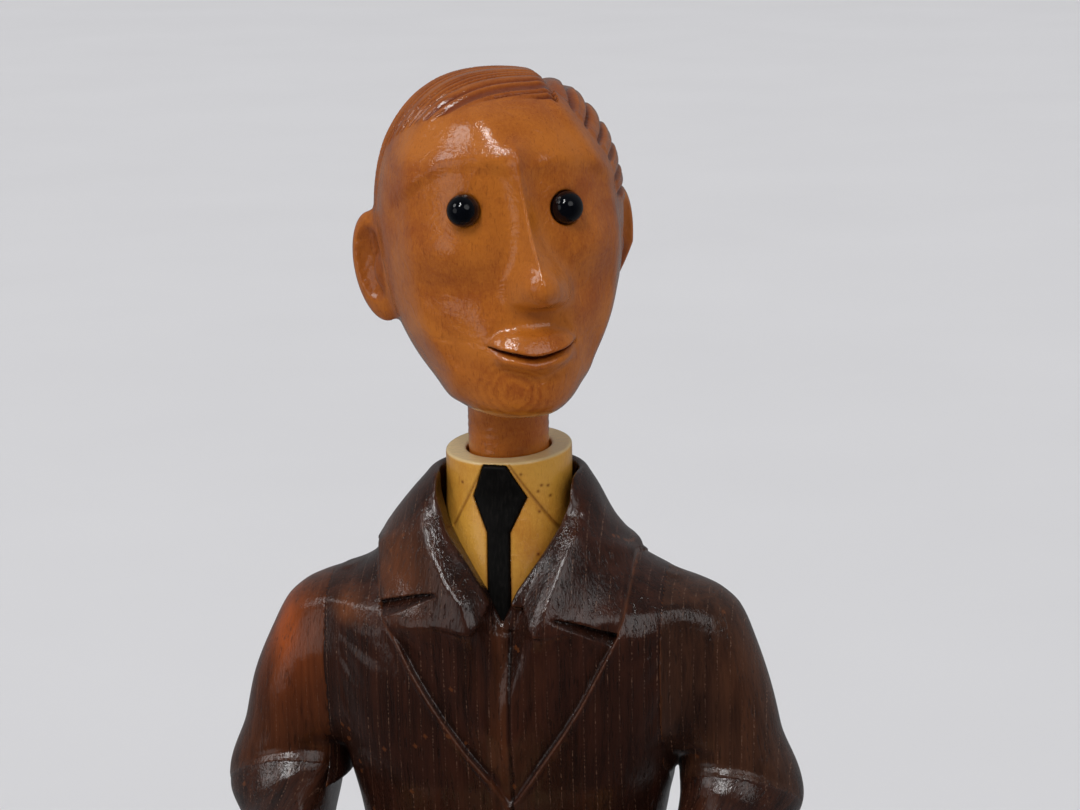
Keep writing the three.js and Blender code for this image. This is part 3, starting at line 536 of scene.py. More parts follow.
COLLAR_ROWS = (  # level above the shoulder line, half width, front, back
    (-4, 22.4, 17.8, 17.4),
    (-2, 22, 17.6, 17),
    (4, 20.4, 15.4, 15.6),
    (8.6, 17.2, 13.6, 14.4),
    (13.1, 14.2, 12, 13.2),
    (17.1, 11.3, 11.1, 11.9),
    (19, 10.4, 10.4, 11),
)
collar_wide, collar_front, collar_back = curves(COLLAR_ROWS, 1, 1, 1)


def coat_collar(x, y, z):
    up = z - SHOULDER
    deep = np.where(y < 0, collar_front(up), collar_back(up))
    d = oval(x + 1.1 * bump(up - 8, 6), y, collar_wide(up), deep)
    return both(both(d, z - COAT_TOP, 1.2), SHOULDER - 3 - z)


# The lapels' outer edge in the front view: X across and Z as the height above the shoulder line.
LAPELS = [
    (1.6, -34.8), (-0.9, -30.3), (-4.8, -25.6), (-7.9, -21.3), (-11.4, -16), (-13.3, -12.9),
    (-15.4, -8.9), (-17.2, -6.3), (-18.4, -4.5), (-18.9, -2.3), (-19.6, 0.1), (-20.4, 2.6), (-21, 7),
    (-21, 30), (21, 30), (21, 7), (20.6, 3), (20.3, 0.2), (19.7, -4), (18.3, -8), (15.6, -13.2),
    (13.4, -17.4), (10.7, -21.8), (8, -25.8), (5.5, -29.6), (3, -33.4),
]
NOTCHES = (((-17.8, -4.4), (-8.8, -0.1)), ((17.6, -8.1), (8.8, -3.3)))  # each from its mouth to its tip
NOTCH_DEPTH = 1.9
NOTCH_MOUTH = 2.2


def lapel_depth(x, y, up):
    """How far inside the lapels' and the collar's outer edge a point is; behind, the edge is level."""
    front = -outline(x, up, LAPELS)
    behind = up - 3.2 + 4.4 * ramp(y, 0, 16)
    return front + (np.minimum(behind, 9) - front) * ramp(y, -3, 3)


def lapel_relief(x, y, up):
    """The collar stands proud of the coat; lower down the lapels dip behind the coat's crisp edge."""
    inside = lapel_depth(x, y, up)
    standing = np.maximum(ramp(up, -11, -4), ramp(y, -6, 0))
    proud = 0.6 + 0.4 * ramp(inside, 0, 3.5)
    dipping = -1 + 1.5 * ramp(inside, 0.1, 7)
    relief = (dipping + (proud - dipping) * standing) * ramp(inside, -0.16, 0.16)
    lip = 0.4 * bump(inside + 0.4, 0.6) * (1 - standing)
    return relief + lip * ramp(up, -36, -30)


def wedge_notch(x, up, start, end):
    """A V-shaped cut above the line from start to end: the wall below slopes, the one above is steep."""
    ex, ey = end[0] - start[0], end[1] - start[1]
    length = math.hypot(ex, ey)
    t = ((x - start[0]) * ex + (up - start[1]) * ey) / length**2
    above = math.copysign(1, ex) * ((up - start[1]) * ex - (x - start[0]) * ey) / length
    along = np.clip(t, 0, 1)
    wide = NOTCH_MOUTH * (1 - along) ** 0.7 + 0.3
    groove = np.clip(np.minimum(above / (0.7 * wide), (wide - above) / (0.3 * wide)), 0, 1)
    return NOTCH_DEPTH * groove * (1 - 0.55 * along) * ramp(1 - t, 0, 0.12) * ramp(t, -0.1, 0)


OPENING = [
    (0.8, -5), (3.3, 0.4), (7.1, 5.8), (9.4, 9.6), (10.7, 13), (11.4, 26), (-11.4, 26), (-10.4, 14),
    (-8.4, 9.2), (-4.9, 4.6), (-1.6, 0),
]
# The band between the rolls of the two lapels, which is sunk, and falls towards the opening.
BAND = [
    (2.2, -40), (2.3, -17), (3.7, -11.1), (4.9, -6.5), (7.3, -0.2), (9.9, 6.5), (12, 11), (13, 26),
    (-12.6, 26), (-11, 11), (-9.2, 7), (-6.6, 2.7), (-3.8, -0.3), (-2.5, -4.4), (-1.8, -11.1),
    (-1.2, -40),
]


def rolls(x, y, up):
    """The sunk band, and beside it the lapels' flat faces that rise from their rolls."""
    inner = -outline(x, up, BAND)
    fall = 1.5 + 0.8 * ramp(-up, -9, 0)
    sunk = fall * np.clip(inner / 2.2, 0, 1)
    sunk *= 0.3 + 0.7 * ramp(up, -24, -6)
    raised = 0.8 * ramp(-inner, -0.2, 1.5) * fade(-inner, 1.3, 7.5) * ramp(up, -16, -6)
    return (sunk - raised) * ramp(-y, 0, 5) * fade(up, 11, 16)


plug_swell = curve((-2, 0), (5, 0), (11, 0.2), (22, 0.6), (30, 0.7))
plug_lean = curve((-2, 0), (5, 0), (11, 0.6), (22, 2), (30, 2.4))


def shirt_plug(x, y, z):
    down = RIM - z
    radius = 10.1 + plug_swell(down)
    return oval(x, y + plug_lean(down), radius, radius + 0.4 * plug_swell(down))


# How softly the sleeves run into the trunk at each level
armhole_blend = curve(
    (ARMPIT - 40, 0.5), (ARMPIT - 2, 0.5), (ARMPIT + 2, 6), (ARMPIT + 14, 6), (SHOULDER - 6, 3),
    (SHOULDER + 20, 3),
)


def coat_form(x, y, z):
    """The trunk with the tops of the sleeves, which the seams cut straight through."""
    sleeve_top = both(arm_form(np.abs(x), y, z), ARMPIT - 7 - z, 1)
    return join(trunk(x, y, z), sleeve_top, armhole_blend(z))


OUTSIDE = 9  # a distance that is plainly outside a shape
SEAM_LAP = 0.9  # how far the coat runs on under the sleeves' glued faces
SEAM_STEP = 0.05  # and how much lower its skin lies there, so that the seam shows as a fine line


def under_sleeves(d, x, z):
    for sign, seat in SEATS.items():
        past = np.where(z > WAIST, x * sign - seat, -OUTSIDE)
        d = join(both(d, past), both(d + SEAM_STEP, past - SEAM_LAP))
    return d


def coat(x, y, z):
    up = z - SHOULDER
    soft = 2.2 + 3.2 * ramp(-y, 0, 8)
    d = join(coat_form(x, y, z), coat_collar(x, y, z), soft)
    d -= lapel_relief(x, y, up) * ramp(up, -36, -33)
    on_lapel = (y < 2) * ramp(lapel_depth(x, y, up), -0.4, 0.1)
    for start, end in NOTCHES:
        d += on_lapel * wedge_notch(x, up, start, end)
    d += pressed_folds(x, y, z) + rolls(x, y, up)
    d = cut(d, np.where(y < 0, outline(x, up, OPENING), OUTSIDE), 0.6)
    d = cut(d, shirt_plug(x, y, z) - 0.16 - 0.8 * ramp(up, 7, 15), 0.25)
    d = cut(d, tie_block(x, y, z) - 0.12)
    d = under_sleeves(d, x, z)
    for level in BUTTON_LEVELS:
        d = cut(d, button_disc(x, y, z, level, 0.12), 0.15)
    return both(both(d, HEM - z, 0.8), z - COAT_TOP, 0.9)


CREASE_X = 2.2  # where the coat's front edge lies


def coat_warmth_and_shade(x, y, z):
    """Where the coat's wood is redder and lighter, and below 0 where it is darker: painted shade in its
    notches, inside the lapels' edges, along the sunk band and in the front crease, and darker outside the
    lower lapels.
    """
    up = z - SHOULDER
    front = y < 0
    inside = lapel_depth(x, y, up)
    inner = -outline(x, up, BAND)
    edge = 0.4 * bump(inside + 0.15, 0.2) * ramp(up, -36, -28) * (y < 4)
    warm = 0.22 * ramp(x, -1.6, -0.2) * fade(x, 1.7, 2.1) * fade(up, -7, -3)
    warm += 0.5 * dome(x, up, (-16, 3), 6.48, 6.48) * ramp(inside, 0, 0.8)
    warm += 0.75 * dome(x, up, (-24.6, -4.4), 2.6, 2.4)
    warm += 0.25 * dome(x, up, (-19, -16), 6, 9) * ramp(-inside, 0, 1)
    notched = sum(wedge_notch(x, up, start, end) for start, end in NOTCHES) / NOTCH_DEPTH
    # Painted shade in the notches, just inside the lapels' edges, along the sunk band and in the front
    # crease; the coat outside the lower lapels is darker too.
    dark = (0.3 * ramp(notched, 0, 0.15) + 0.5 * notched) * ramp(inside, -0.2, 0.2)
    dark += 0.5 * bump(inside - 0.5, 0.55) * fade(up, -10, -4) * ramp(up, -34, -28)
    dark += 0.4 * bump(inner - 0.5, 0.7) * ramp(up, -16, -8) * fade(up, 8, 14)
    dark += 0.6 * bump(x - CREASE_X, 0.3) * fade(up, -7, -5)
    dark += 0.3 * ramp(-inside, 0, 1) * ramp(-up, 4, 11)
    return np.clip(edge + warm * front, 0, 1) - np.clip(dark * front, 0, 1)


ARMHOLE_FOLDS = (  # start, end and depth, with heights above the hem
    ((26.5, 61), (17.5, 56), 0.3),
    ((26.5, 58), (21, 50.5), 0.34),
    ((26.5, 52), (21.5, 43), 0.26),
)
POCKET_FLAP = [(9.5, 21), (22.5, 19.5), (22.9, 14.2), (9.9, 15.6)]
VENT_TOP = 26


def pressed_folds(x, y, z):
    """Shallow carved folds: at the armholes, the front edge of the coat, its pockets and its vent."""
    up = z - HEM
    side = np.abs(x)
    front = y < 0
    d = np.zeros_like(x)
    for start, end, depth in ARMHOLE_FOLDS:
        far, t = scratch_line(side, up, start, end)
        d += depth * bump(far, 1.1) * fade(t, 0.3, 1) * front
    d *= fade(side, 24.8, 26.8)
    lower = front & (up < 63)
    d += 0.55 * bump(x - CREASE_X, 0.2) * lower
    d += 0.5 * ramp(x, -0.9, CREASE_X) ** 2 * (lower & (x < CREASE_X))
    d += 0.35 * fade(x, CREASE_X, 9) * (lower & (x > CREASE_X))
    flap = outline(side, up, POCKET_FLAP)
    d += (0.5 * bump(flap, 0.3) - 0.35 * ramp(-flap, 0, 0.4)) * front
    return d + 0.6 * bump(x, 0.28) * (~front & (up < VENT_TOP))


BUTTONS = ("top_button", "lower_button")
BUTTON_LEVELS = [sum(box_mm(node))[2] / 2 for node in BUTTONS]
BUTTON_LOW, BUTTON_HIGH = box_mm(BUTTONS[0])
BUTTON_X = (BUTTON_LOW[0] + BUTTON_HIGH[0]) / 2
BUTTON_RADIUS = (BUTTON_HIGH[0] - BUTTON_LOW[0]) / 2
BUTTON_FRONT = BUTTON_LOW[1]
BUTTON_THICK = 1.5


def button_disc(x, y, z, level, grown):
    """A button's disc; grown, it is the bed that the coat leaves for it, open to the front."""
    far = np.hypot(x - BUTTON_X, z - level)
    d = both(far - BUTTON_RADIUS - grown, y - BUTTON_FRONT - BUTTON_THICK - grown, 0.3)
    return both(d, BUTTON_FRONT - y - (OUTSIDE if grown else 0), 0.4)


def button(level):
    def shape(x, y, z):
        far = np.hypot(x - BUTTON_X, z - level)
        d = button_disc(x, y, z, level, 0)
        d += 0.3 * bump(far - 1.15, 0.5) * (y < BUTTON_FRONT + 0.8)
        for dx, dz in ((0.45, 0.45), (-0.45, 0.45), (0.45, -0.45), (-0.45, -0.45)):
            hole = np.hypot(x - BUTTON_X - dx, z - level - dz) - 0.24
            d = cut(d, both(hole, y - BUTTON_FRONT - 1.2), 0.1)
        return d
    return shape


# Shirt and tie

TIE_OUTLINE = [
    (-1.85, -11.4), (-4.2, -6), (-2.5, -0.8), (1.1, -0.8), (4.2, -6), (1.65, -11.4), (2, -24.6),
    (1.3, -26.2), (0.4, -26.2), (-1.5, -24.6),
]
RIM_FACE = (0.03, 0.08, 0.4)  # how the collar's sawn top slants with X and Y, and its height on the axis
WINGS = (((1.6, -0.7), (9, -11.8)), ((-2.4, -0.9), (-7.8, -11.2)))
PRICKS = ((3.4, -2.2), (5.9, -5.2), (6.4, -4.3), (7.3, -4.5), (7.6, -6.2), (6.1, -8.4), (6, -15), (-6.2, -4))


def rim_level(x, y):
    return RIM + RIM_FACE[0] * x + RIM_FACE[1] * y + RIM_FACE[2]


def tie_face(x, z):
    return outline(x, z - RIM, TIE_OUTLINE)


TIE_STANDS = 0.4  # how far it stands out of the shirt
TIE_THICK = 1.3  # and how deep it is let in
PLUG_DEEP = 26.8  # how far the shirt reaches down from its rim
NECK_DEEP = 13  # the depth and the radius of the neck's bore in it
NECK_BORE = 6.78
PEG_DEEP = 24  # and of the peg's
PEG_BORE = 3.3
WING_WIDTH = 0.2


def tie_block(x, y, z):
    """The space that the tie takes up."""
    plug = shirt_plug(x, y, z)
    return both(np.where(y < 0, both(plug - TIE_STANDS, tie_face(x, z)), OUTSIDE), -plug - TIE_THICK)


def wing_scratches(x, z):
    """1 along the scratches that mark the wings of the shirt's collar."""
    return np.maximum(*[bump(scratch_line(x, z - RIM, *wing)[0], WING_WIDTH) for wing in WINGS])


def shirt(x, y, z):
    plug = shirt_plug(x, y, z)
    around = np.hypot(x, y)
    d = both(plug, z - rim_level(x, y), 0.5)
    d = both(d, RIM - PLUG_DEEP - z)
    d = cut(d, both(around - NECK_BORE, RIM - NECK_DEEP - z), 0.5)
    d = cut(d, both(around - PEG_BORE, RIM - PEG_DEEP - z))
    d += 0.22 * wing_scratches(x, z) * (y < -2)
    slot = both(tie_face(x, z) - 0.1, -plug - TIE_THICK - 0.05)
    return cut(d, np.where(y < 0, slot, OUTSIDE))


def tie(x, y, z):
    plug = shirt_plug(x, y, z)
    d = both(both(plug - TIE_STANDS, tie_face(x, z), 0.45), -plug - TIE_THICK)
    return np.where(y < 0, both(d, z - RIM + 0.6, 0.3), OUTSIDE)


def shirt_stain(x, y, z):
    """Brown in the scratches beside the tie, and pricks; below 0 on the bare end grain of the rim."""
    dark = np.maximum(0.5 * bump(tie_face(x, z) - 0.1, 0.2), 0.6 * wing_scratches(x, z))
    for across, drop in PRICKS:
        dark = np.maximum(dark, bump(np.hypot(x - across, z - RIM - drop), 0.22))
    dark += 0.25 * ramp(RIM - z, 9, 20)
    return dark * (y < -2) - ramp(z - rim_level(x, y), -0.45, -0.1)


# Sleeves, cuffs and hands

ARM_WIDE = 8.8
ARM_DEEP = 9.25
SLEEVE_ROWS = (  # drop below the shoulder line, reach past the seat, shares of width and depth
    (0.4, 0.9, 0.12, 0.2),
    (1, 2.2, 0.36, 0.42),
    (1.9, 4.8, 0.6, 0.63),
    (3.3, 7.6, 0.86, 0.83),
    (5.8, 10.2, 1, 0.95),
    (10.8, 12.4, 1.04, 1),
    (19.5, 15.2, 1.04, 1),
    (27.6, 17, 1.02, 0.98),
    (33.8, 18.4, 1, 0.97),
    (40, 19.6, 0.98, 0.96),
    (50, 21.2, 0.97, 0.95),
)
sleeve_reach, sleeve_wide, sleeve_deep = curves(SLEEVE_ROWS, 1, ARM_WIDE, ARM_DEEP)
ELBOW = np.array((36.9, 0.5, SHOULDER - 37.5))
ARM_TOP = np.array((33, 0, SHOULDER - 10))
HAND_Y = -43
GRIP = np.array((BOARD_EDGE + 4.6, HAND_Y, BOARD_UNDER + 2.4))


def unit(v):
    return np.array(v) / np.linalg.norm(v)


FORE = unit(GRIP - ELBOW)  # the forearm's direction
MITRE = unit(unit(ELBOW - ARM_TOP) + FORE)
FORE_LENGTH = 29


def fore_point(distance):
    """A point on the forearm's axis, at a distance from the elbow."""
    return ELBOW + FORE * distance


def arm_form(x, y, z):
    """The whole left sleeve without its folds."""
    drop = SHOULDER - z
    wide = sleeve_wide(drop)
    upper = oval(x - SEAT_MIDDLE - sleeve_reach(drop) + wide, y - 0.25, wide, sleeve_deep(drop))
    upper = both(both(upper, ELBOW[2] - 2 - z, 5), z - SHOULDER + 0.5, 0.6)
    lower = rod(x, y, z, fore_point(-1), fore_point(FORE_LENGTH + 20), 9.1, 4.2)
    lower = both(lower, beyond(x, y, z, fore_point(FORE_LENGTH), FORE), 0.9)
    return join(upper, lower, 4.5)


def arm(x, y, z):
    """The left sleeve with its folds, before it is parted at the elbow."""
    d = join(both(trunk(x, y, z), WAIST - z), arm_form(x, y, z), armhole_blend(z))
    across = beyond(x, y, z, ELBOW, MITRE)
    outwards = x - ELBOW[0]
    d += ramp(-y, 0, 7) * 0.3 * bump(across + 1.4 - 0.1 * outwards, 1.1)
    along = beyond(x, y, z, fore_point(-1), FORE)
    ripple = np.sin(along * 0.55 + 0.16 * outwards + 1.4)
    return d + 0.16 * ripple * ramp(along, 6, 12) * fade(along, 24, 28)


def right_sleeve_warmth_and_glow(x, y, z):
    """The man's right sleeve is redder, with a painted glow of light below the shoulder."""
    up = z - SHOULDER
    # A painted glow of light on the sleeve below the shoulder.
    painted_glow = 0.8 * dome(x, up, (-36, -9), 2.6, 5) * (y < 0)
    return np.clip(painted_glow + 0.42 * dome(x, up, (-36, -11), 7, 11), 0, 1)


def left_sleeve_warmth(x, y, z):
    up = z - SHOULDER
    return 0.2 * dome(x, up, (40, -14), 5, 12) + 0.1 * (up > -3)


def mirrored(left_shape, sign):
    return lambda x, y, z: left_shape(x * sign, y, z)


RIGHT_ARM_OUT = 1.2  # the man's right arm stands this much further out than his left


def arm_side(x, y, z, sign):
    """Distance to the man's left in the left arm's shape, which the right arm is stretched from."""
    left = x * sign
    if sign > 0:
        return left
    out = RIGHT_ARM_OUT * ramp(SHOULDER - z, 4, 20) * fade(-y, 4, 20)
    return left - out * ramp(left - SEATS[sign], 0, 9)


def sleeve(sign, lower):
    def shape(x, y, z):
        left = arm_side(x, y, z, sign)
        across = beyond(left, y, z, ELBOW, MITRE)
        below = ramp(ARMPIT - z, -1, 10)
        d = both(arm(left, y, z), SEATS[sign] + 0.7 * below - left, 0.05 + 4 * below)
        if lower:
            return both(d, -across)
        return join(both(d, across), both(d + SEAM_STEP, across - SEAM_LAP))
    return shape


CUFF_START = FORE_LENGTH - 1
CUFF_END = FORE_LENGTH + 3.1
CUFF_MIDDLE = fore_point((CUFF_START + CUFF_END) / 2)
DOWEL_BORE = 1.75


def cuff(x, y, z):
    ring = rod(x, y, z, fore_point(CUFF_START - 12), fore_point(CUFF_END + 12), 4.75)
    ends = np.abs(beyond(x, y, z, CUFF_MIDDLE, FORE)) - (CUFF_END - CUFF_START) / 2
    bore = rod(x, y, z, fore_point(CUFF_START - 4), fore_point(CUFF_END + 4), DOWEL_BORE)
    return cut(both(ring, ends, 0.5), bore)


FINGER = 1.65  # radius
THUMB_LEVEL = BOARD_TOP + 1.95
WRIST = fore_point(FORE_LENGTH + 2.4)
PALM = np.array((BOARD_EDGE + 4.3, HAND_Y, BOARD_UNDER + 2))


def hand(x, y, z):
    def limb(start, end, radius, end_radius=None):
        return rod(x, y, z, start, end, radius, end_radius)

    d = limb(WRIST - FORE * 4, WRIST + FORE * 6, 3.7, 4.1)
    d = join(d, egg(x, y, z, PALM + (0.2, 1.2, 0.4), (3.7, 8.4, 5.7), 2.3), 3)
    for i in range(4):
        across = PALM[1] + 4.6 - i * (2 * FINGER + 0.05)
        under = BOARD_UNDER - FINGER - 0.08
        root = (PALM[0] - 0.6, across, under + 2.2)
        knuckle = (BOARD_EDGE + 0.6, across, under - 0.1)
        tip = (BOARD_EDGE - 7.5 + abs(i - 1.2), across - 0.2, under)
        near = limb(root, knuckle, FINGER + 0.15, FINGER)
        d = join(d, join(near, limb(knuckle, tip, FINGER, FINGER * 0.88), 0.5), 0.45)
    root = (PALM[0] - 0.4, PALM[1] + 5, THUMB_LEVEL - 0.4)
    knuckle = (BOARD_EDGE + 0.2, PALM[1] + 0.6, THUMB_LEVEL + 0.25)
    tip = (BOARD_EDGE - 4.6, PALM[1] - 3.4, THUMB_LEVEL - 0.1)
    thumb = join(limb(root, knuckle, 2.2, 1.9), limb(knuckle, tip, 1.9, 1.62), 0.6)
    nail = egg(x, y, z, (tip[0] + 0.1, tip[1] + 0.1, tip[2] + 1.6), (1.25, 1.25, 0.5))
    d = join(d, cut(thumb, nail, 0.25), 0.9)
    held = both(both(x - BOARD_EDGE - 0.12, BOARD_UNDER - 0.1 - z), z - BOARD_TOP - 0.1)
    d = cut(d, held, 0.15)
    d = both(d, 0.4 - beyond(x, y, z, WRIST, FORE), 0.2)
    return cut(d, limb(WRIST - FORE * 4, WRIST + FORE * 5, DOWEL_BORE))


# Head

LEAN = math.radians(1.4)
TURN = math.radians(19.5)
HEAD_TURN = Matrix.Rotation(TURN, 3, "Z") @ Matrix.Rotation(-LEAN, 3, "Y")
HEAD_AXES = np.array(HEAD_TURN)
HEAD_HIGH = 52
HEAD_HALF = 19.3
HEAD_DEEP = 22.5
NECK_RADIUS = 6.45
NECK_FOOT = RIM - NECK_DEEP + 2 * HALF_GAP
NECK_HOLE = 12.8  # how far the peg's bore goes up into the neck
EYE_RADIUS = 2.5


def to_head(x, y, z):
    """From the figure's frame to the skull's own, whose origin is the chin over the neck axis."""
    return [x * a + y * b + (z - CHIN) * c for a, b, c in HEAD_AXES.T]


EYES = [to_head(*(sum(box_mm(node)) / 2)) for node in ("left_eye", "right_eye")]
SKULL_ROWS = (  # share of the height, fullness of the width, of the depth, and place in Y
    (0, 0.9, 1.06, -0.41),
    (0.03, 0.885, 1.03, -0.37),
    (0.1, 0.87, 0.97, -0.26),
    (0.2, 0.9, 0.935, -0.135),
    (0.33, 0.95, 0.931, -0.045),
    (0.48, 0.99, 0.96, 0.01),
    (0.64, 1.012, 1, 0.015),
    (0.78, 1.015, 1.04, 0.015),
    (0.88, 1, 1.06, 0.02),
    (1, 0.99, 1.06, 0.02),
)
full_wide, full_deep, skull_y = curves(SKULL_ROWS, HEAD_HALF, HEAD_DEEP, HEAD_DEEP, along=HEAD_HIGH)
# How much slimmer the jaw is on the man's left, as a share at each height
left_jaw = curve((-2, 0.16), (4, 0.13), (12, 0.05), (20, 0.01), (28, 0))
SKULL_SQUARE = 2.15  # how boxy its level cuts are
CLOSING = 2.5  # and how squarely it closes at the crown and at the chin


def skull_form(x, y, z):
    """The plain skull: an egg whose width and depth follow the rows."""
    half = HEAD_HIGH / 2 + 0.15
    deep = full_deep(z)
    wide = full_wide(z) * (1 - ramp(x, 0, 7) * left_jaw(z))
    u = np.abs(x / wide) + TINY
    v = np.abs((y - skull_y(z)) / deep) + TINY
    w = np.abs((z + 0.3) / half - 1) + TINY
    lower = SKULL_SQUARE - 1
    h = (u**SKULL_SQUARE + v**SKULL_SQUARE) ** (1 / SKULL_SQUARE)
    level = np.hypot(u**lower / wide, v**lower / deep) / h**lower
    g = (h**CLOSING + w**CLOSING) ** (1 / CLOSING)
    steep = np.hypot((h / g) ** (CLOSING - 1) * level, (w / g) ** (CLOSING - 1) / half)
    return (g - 1) / steep


brow_line = curve(
    (-19, 33), (-15.3, 37.2), (-12.9, 39.2), (-10.8, 40.4), (-7.6, 41), (-4.5, 40.7), (-2.7, 40.1),
    (-0.8, 38.2), (1.2, 39.1), (2.9, 39.7), (6.1, 40.3), (9.5, 40), (13.2, 38.5), (19, 33),
)
corner_left = curve((8, 11), (16, 14.9), (29, 16.3), (40, 16.1), (44, 14.2), (50, 9))
corner_right = curve((8, 11), (16, 14.6), (29, 15.9), (36, 14.5), (42, 11), (47, 8), (51, 5.5))


def face_relief(x, y, z):
    """How far the carved face stands out from the plain skull, in millimetres."""
    front = ramp(-y, 3, 11)
    above = z - brow_line(x)
    beside_nose = 1 - bump(x + 0.4, 1.8)
    relief = -0.65 * ramp(-above, -0.7, 2.5) * fade(-above, 3.5, 12) * beside_nose
    keel = ramp(z, 38, 41) * fade(z, 46, 50)
    relief += (0.6 * bump(x - keel_line(z), 3.8) - 0.3 * bump(z - 43.4, 2.4)) * keel
    for sign in (1, -1):
        side = x * sign
        relief -= 0.35 * dome(side, z, (8.8, 33), 5.5, 4)
        relief += 0.9 * dome(side, z, (11.4, 26.6), 6, 3.6)
        relief -= 0.45 * dome(side, z, (9.4, 20.5), 5, 2.8)
        relief -= 0.5 * dome(side, z, (9.8, 12.6), 2.6, 4.4)
    corner = np.where(x < 0, -x - corner_left(z), x - corner_right(z))
    relief += 0.35 * bump(corner, 1.3) - 0.35 * bump(corner - 3.2, 2.2)
    relief += 1.9 * dome(x, z, (0.5, 12), 8.2, 5.4)
    relief += 0.5 * dome(x, z, (0.2, 3.4), 8, 3.4)
    return relief * front


keel_line = curve((38, -1.6), (41, -2.7), (44.3, -4.2), (48, -5.6))
ridge_line = curve(
    (12, -21), (17.6, -25.2), (19.6, -27.2), (21.8, -27.6), (25, -26.4), (30, -24.6), (35, -23.3),
    (39, -22.7), (44, -21.9), (49, -20),
)
ridge_bend = curve(
    (12, 1.9), (20, 1.8), (23.9, 1.4), (26.9, 0.9), (29.8, 0.4), (32.7, 0.1), (35.6, -0.3), (38, -0.6),
    (49, -0.9),
)
ridge_open = curve((12, 1.35), (20, 1.3), (23, 1.05), (26, 0.8), (31, 0.64), (36, 0.62), (40, 0.8), (49, 2))
hairline = curve(
    (-19, 36), (-17.7, 40.7), (-16.7, 42.4), (-15.7, 43.7), (-14.1, 45.2), (-11.9, 46.3), (-9.1, 47.3),
    (-6.2, 48), (-3.1, 48.9), (0, 49.5), (3.3, 50), (5.9, 50.1), (7.5, 50.4), (9, 50.6), (11, 49.6),
    (13.1, 46.8), (14.6, 43.7), (16, 40), (17.2, 34),
)
temple_right = curve(
    (8, 1), (24, 1), (34, 0.2), (38, -0.2), (40.7, -0.8), (42.4, -2.4), (43.7, -4.8), (45.2, -7.8),
    (46.3, -11), (47.3, -12.9), (50, -14),
)
temple_left = curve(
    (8, 0), (20, -3), (28, -7), (33, -10), (38, -11.4), (42, -12.6), (45.8, -12.4), (47.8, -10.4),
    (50, -8.6),
)
PARTING_X = 7.5


def hair_depth(x, y, z):
    """Positive inside the hair, roughly in millimetres from its edge."""
    over = (z - hairline(x)) * 0.75 - 3 * np.maximum(y + 1, 0)
    beside = y - np.where(x < PARTING_X, temple_right(z), temple_left(z))
    nape = (z - 15 + 0.25 * np.abs(x)) * 0.8
    sideburn = z - 27 - np.maximum(0, 4 - y) * 0.4
    low = np.where(y > 7, nape, sideburn)
    return join(np.maximum(over, beside), low, 1.2)


def furrows(across, spacing, seed):
    """Uneven combed furrows: 0 on a crest, 1 in a groove. across is in millimetres."""
    s = across / spacing + 0.3 * np.sin(across * 0.8 + seed) + 0.14 * np.sin(across * 2.3 + 2 * seed)
    wave = 0.5 + 0.5 * np.sin(2 * math.pi * s)
    fine = 0.5 + 0.5 * np.sin(2 * math.pi * s * 2.3 + seed)
    return 0.75 * wave**2 + 0.25 * fine * (0.4 + 0.6 * wave)


LOCK = 3.25  # the locks' spacing on the man's left


def combing(x, y, z):
    """The grooves of the combed hair, from 0 at a crest to 1 in a groove."""
    back = np.arctan2(z - 25, -(y - 3)) * 23 - 0.2 * (x - 6)
    side = np.arctan2(z - 26, x + 4) * 24 + 0.25 * np.sin(y * 0.5)
    nape = np.arctan2(x, y - 2) * 21 + 0.25 * np.sin(z * 0.6)
    swept = furrows(back + 0.25 * np.sin(x * 0.3), 1.5, 0.6) * (0.35 + 0.65 * ramp(z, 33, 43))
    notched = 0.5 + 0.5 * np.sin(2 * math.pi * side / LOCK)
    locks = 0.9 * notched**4 + 0.1 * furrows(side, 1.1, 1.9)
    fall = furrows(nape, 1.9, 2.7)
    top = np.where(x < PARTING_X, swept, locks)
    lower = ramp(y, 6, 12) * fade(z, 30, 38)
    return top * (1 - lower) + fall * lower


def ear_space(x, y, z, sign):
    """A point in an ear's own directions: outwards, forwards out of its face, and up."""
    side = x * sign - 18.3
    flare = math.radians(50)
    up = z - (23.3 if sign > 0 else 21.8)
    drawn_in = 0.75 * np.maximum(-up - 1, 0) if sign > 0 else 0
    out = side * math.cos(flare) + (y - 2.6) * math.sin(flare) - 0.12 * up + drawn_in
    face = side * math.sin(flare) - (y - 2.6) * math.cos(flare)
    return out, face, up


def ear_hollow(out, face, up):
    rough = 0.05 * np.sin(up * 3.1 + out * 2) * np.sin(out * 2.7 + 1)
    return egg(out, face, up, (1.5, 2, 0.8), (3.5, 1.9, 6.3)) + rough


def ear(x, y, z, sign):
    """A flat ear that faces half forward, with a rough hollow inside its rim."""
    out, face, up = ear_space(x, y, z, sign)
    plate = egg(out, face, up, (1.2, 0, 0), (5.2, 1.8, 8.7))
    plate = cut(plate, ear_hollow(out, face, up), 0.5)
    inner = egg(out, face, up, (-0.6, 1.1, -0.6), (1.5, 1.2, 2.8))
    return join(plate, inner, 1.2)


def nose(x, y, z):
    behind = y - ridge_line(z)
    aside = np.sqrt((x - ridge_bend(z)) ** 2 + 0.012) - 0.1
    spread = ridge_open(z)
    wedge = (aside - behind * spread) / np.sqrt(1 + spread * spread)
    wedge = both(wedge, aside - 5.2, 4)
    floor = 19.5 - 0.35 * (y + 26.5) - z
    wedge = both(wedge, floor, 1.6)
    wedge = both(wedge, y + 14, 1)
    wedge = both(wedge, z - 43, 3)
    return join(wedge, egg(x, y, z, (1.6, -25, 21.9), (2.3, 2.4, 2.2)), 1.8)


slit_level = curve((-9, 13.2), (-6.1, 12.6), (-2.9, 11.8), (0.5, 11.1), (4.5, 11.7), (7.2, 12.5), (10, 13.2))
MOUTH_X = 0.5
MOUTH_HALF = 6.9


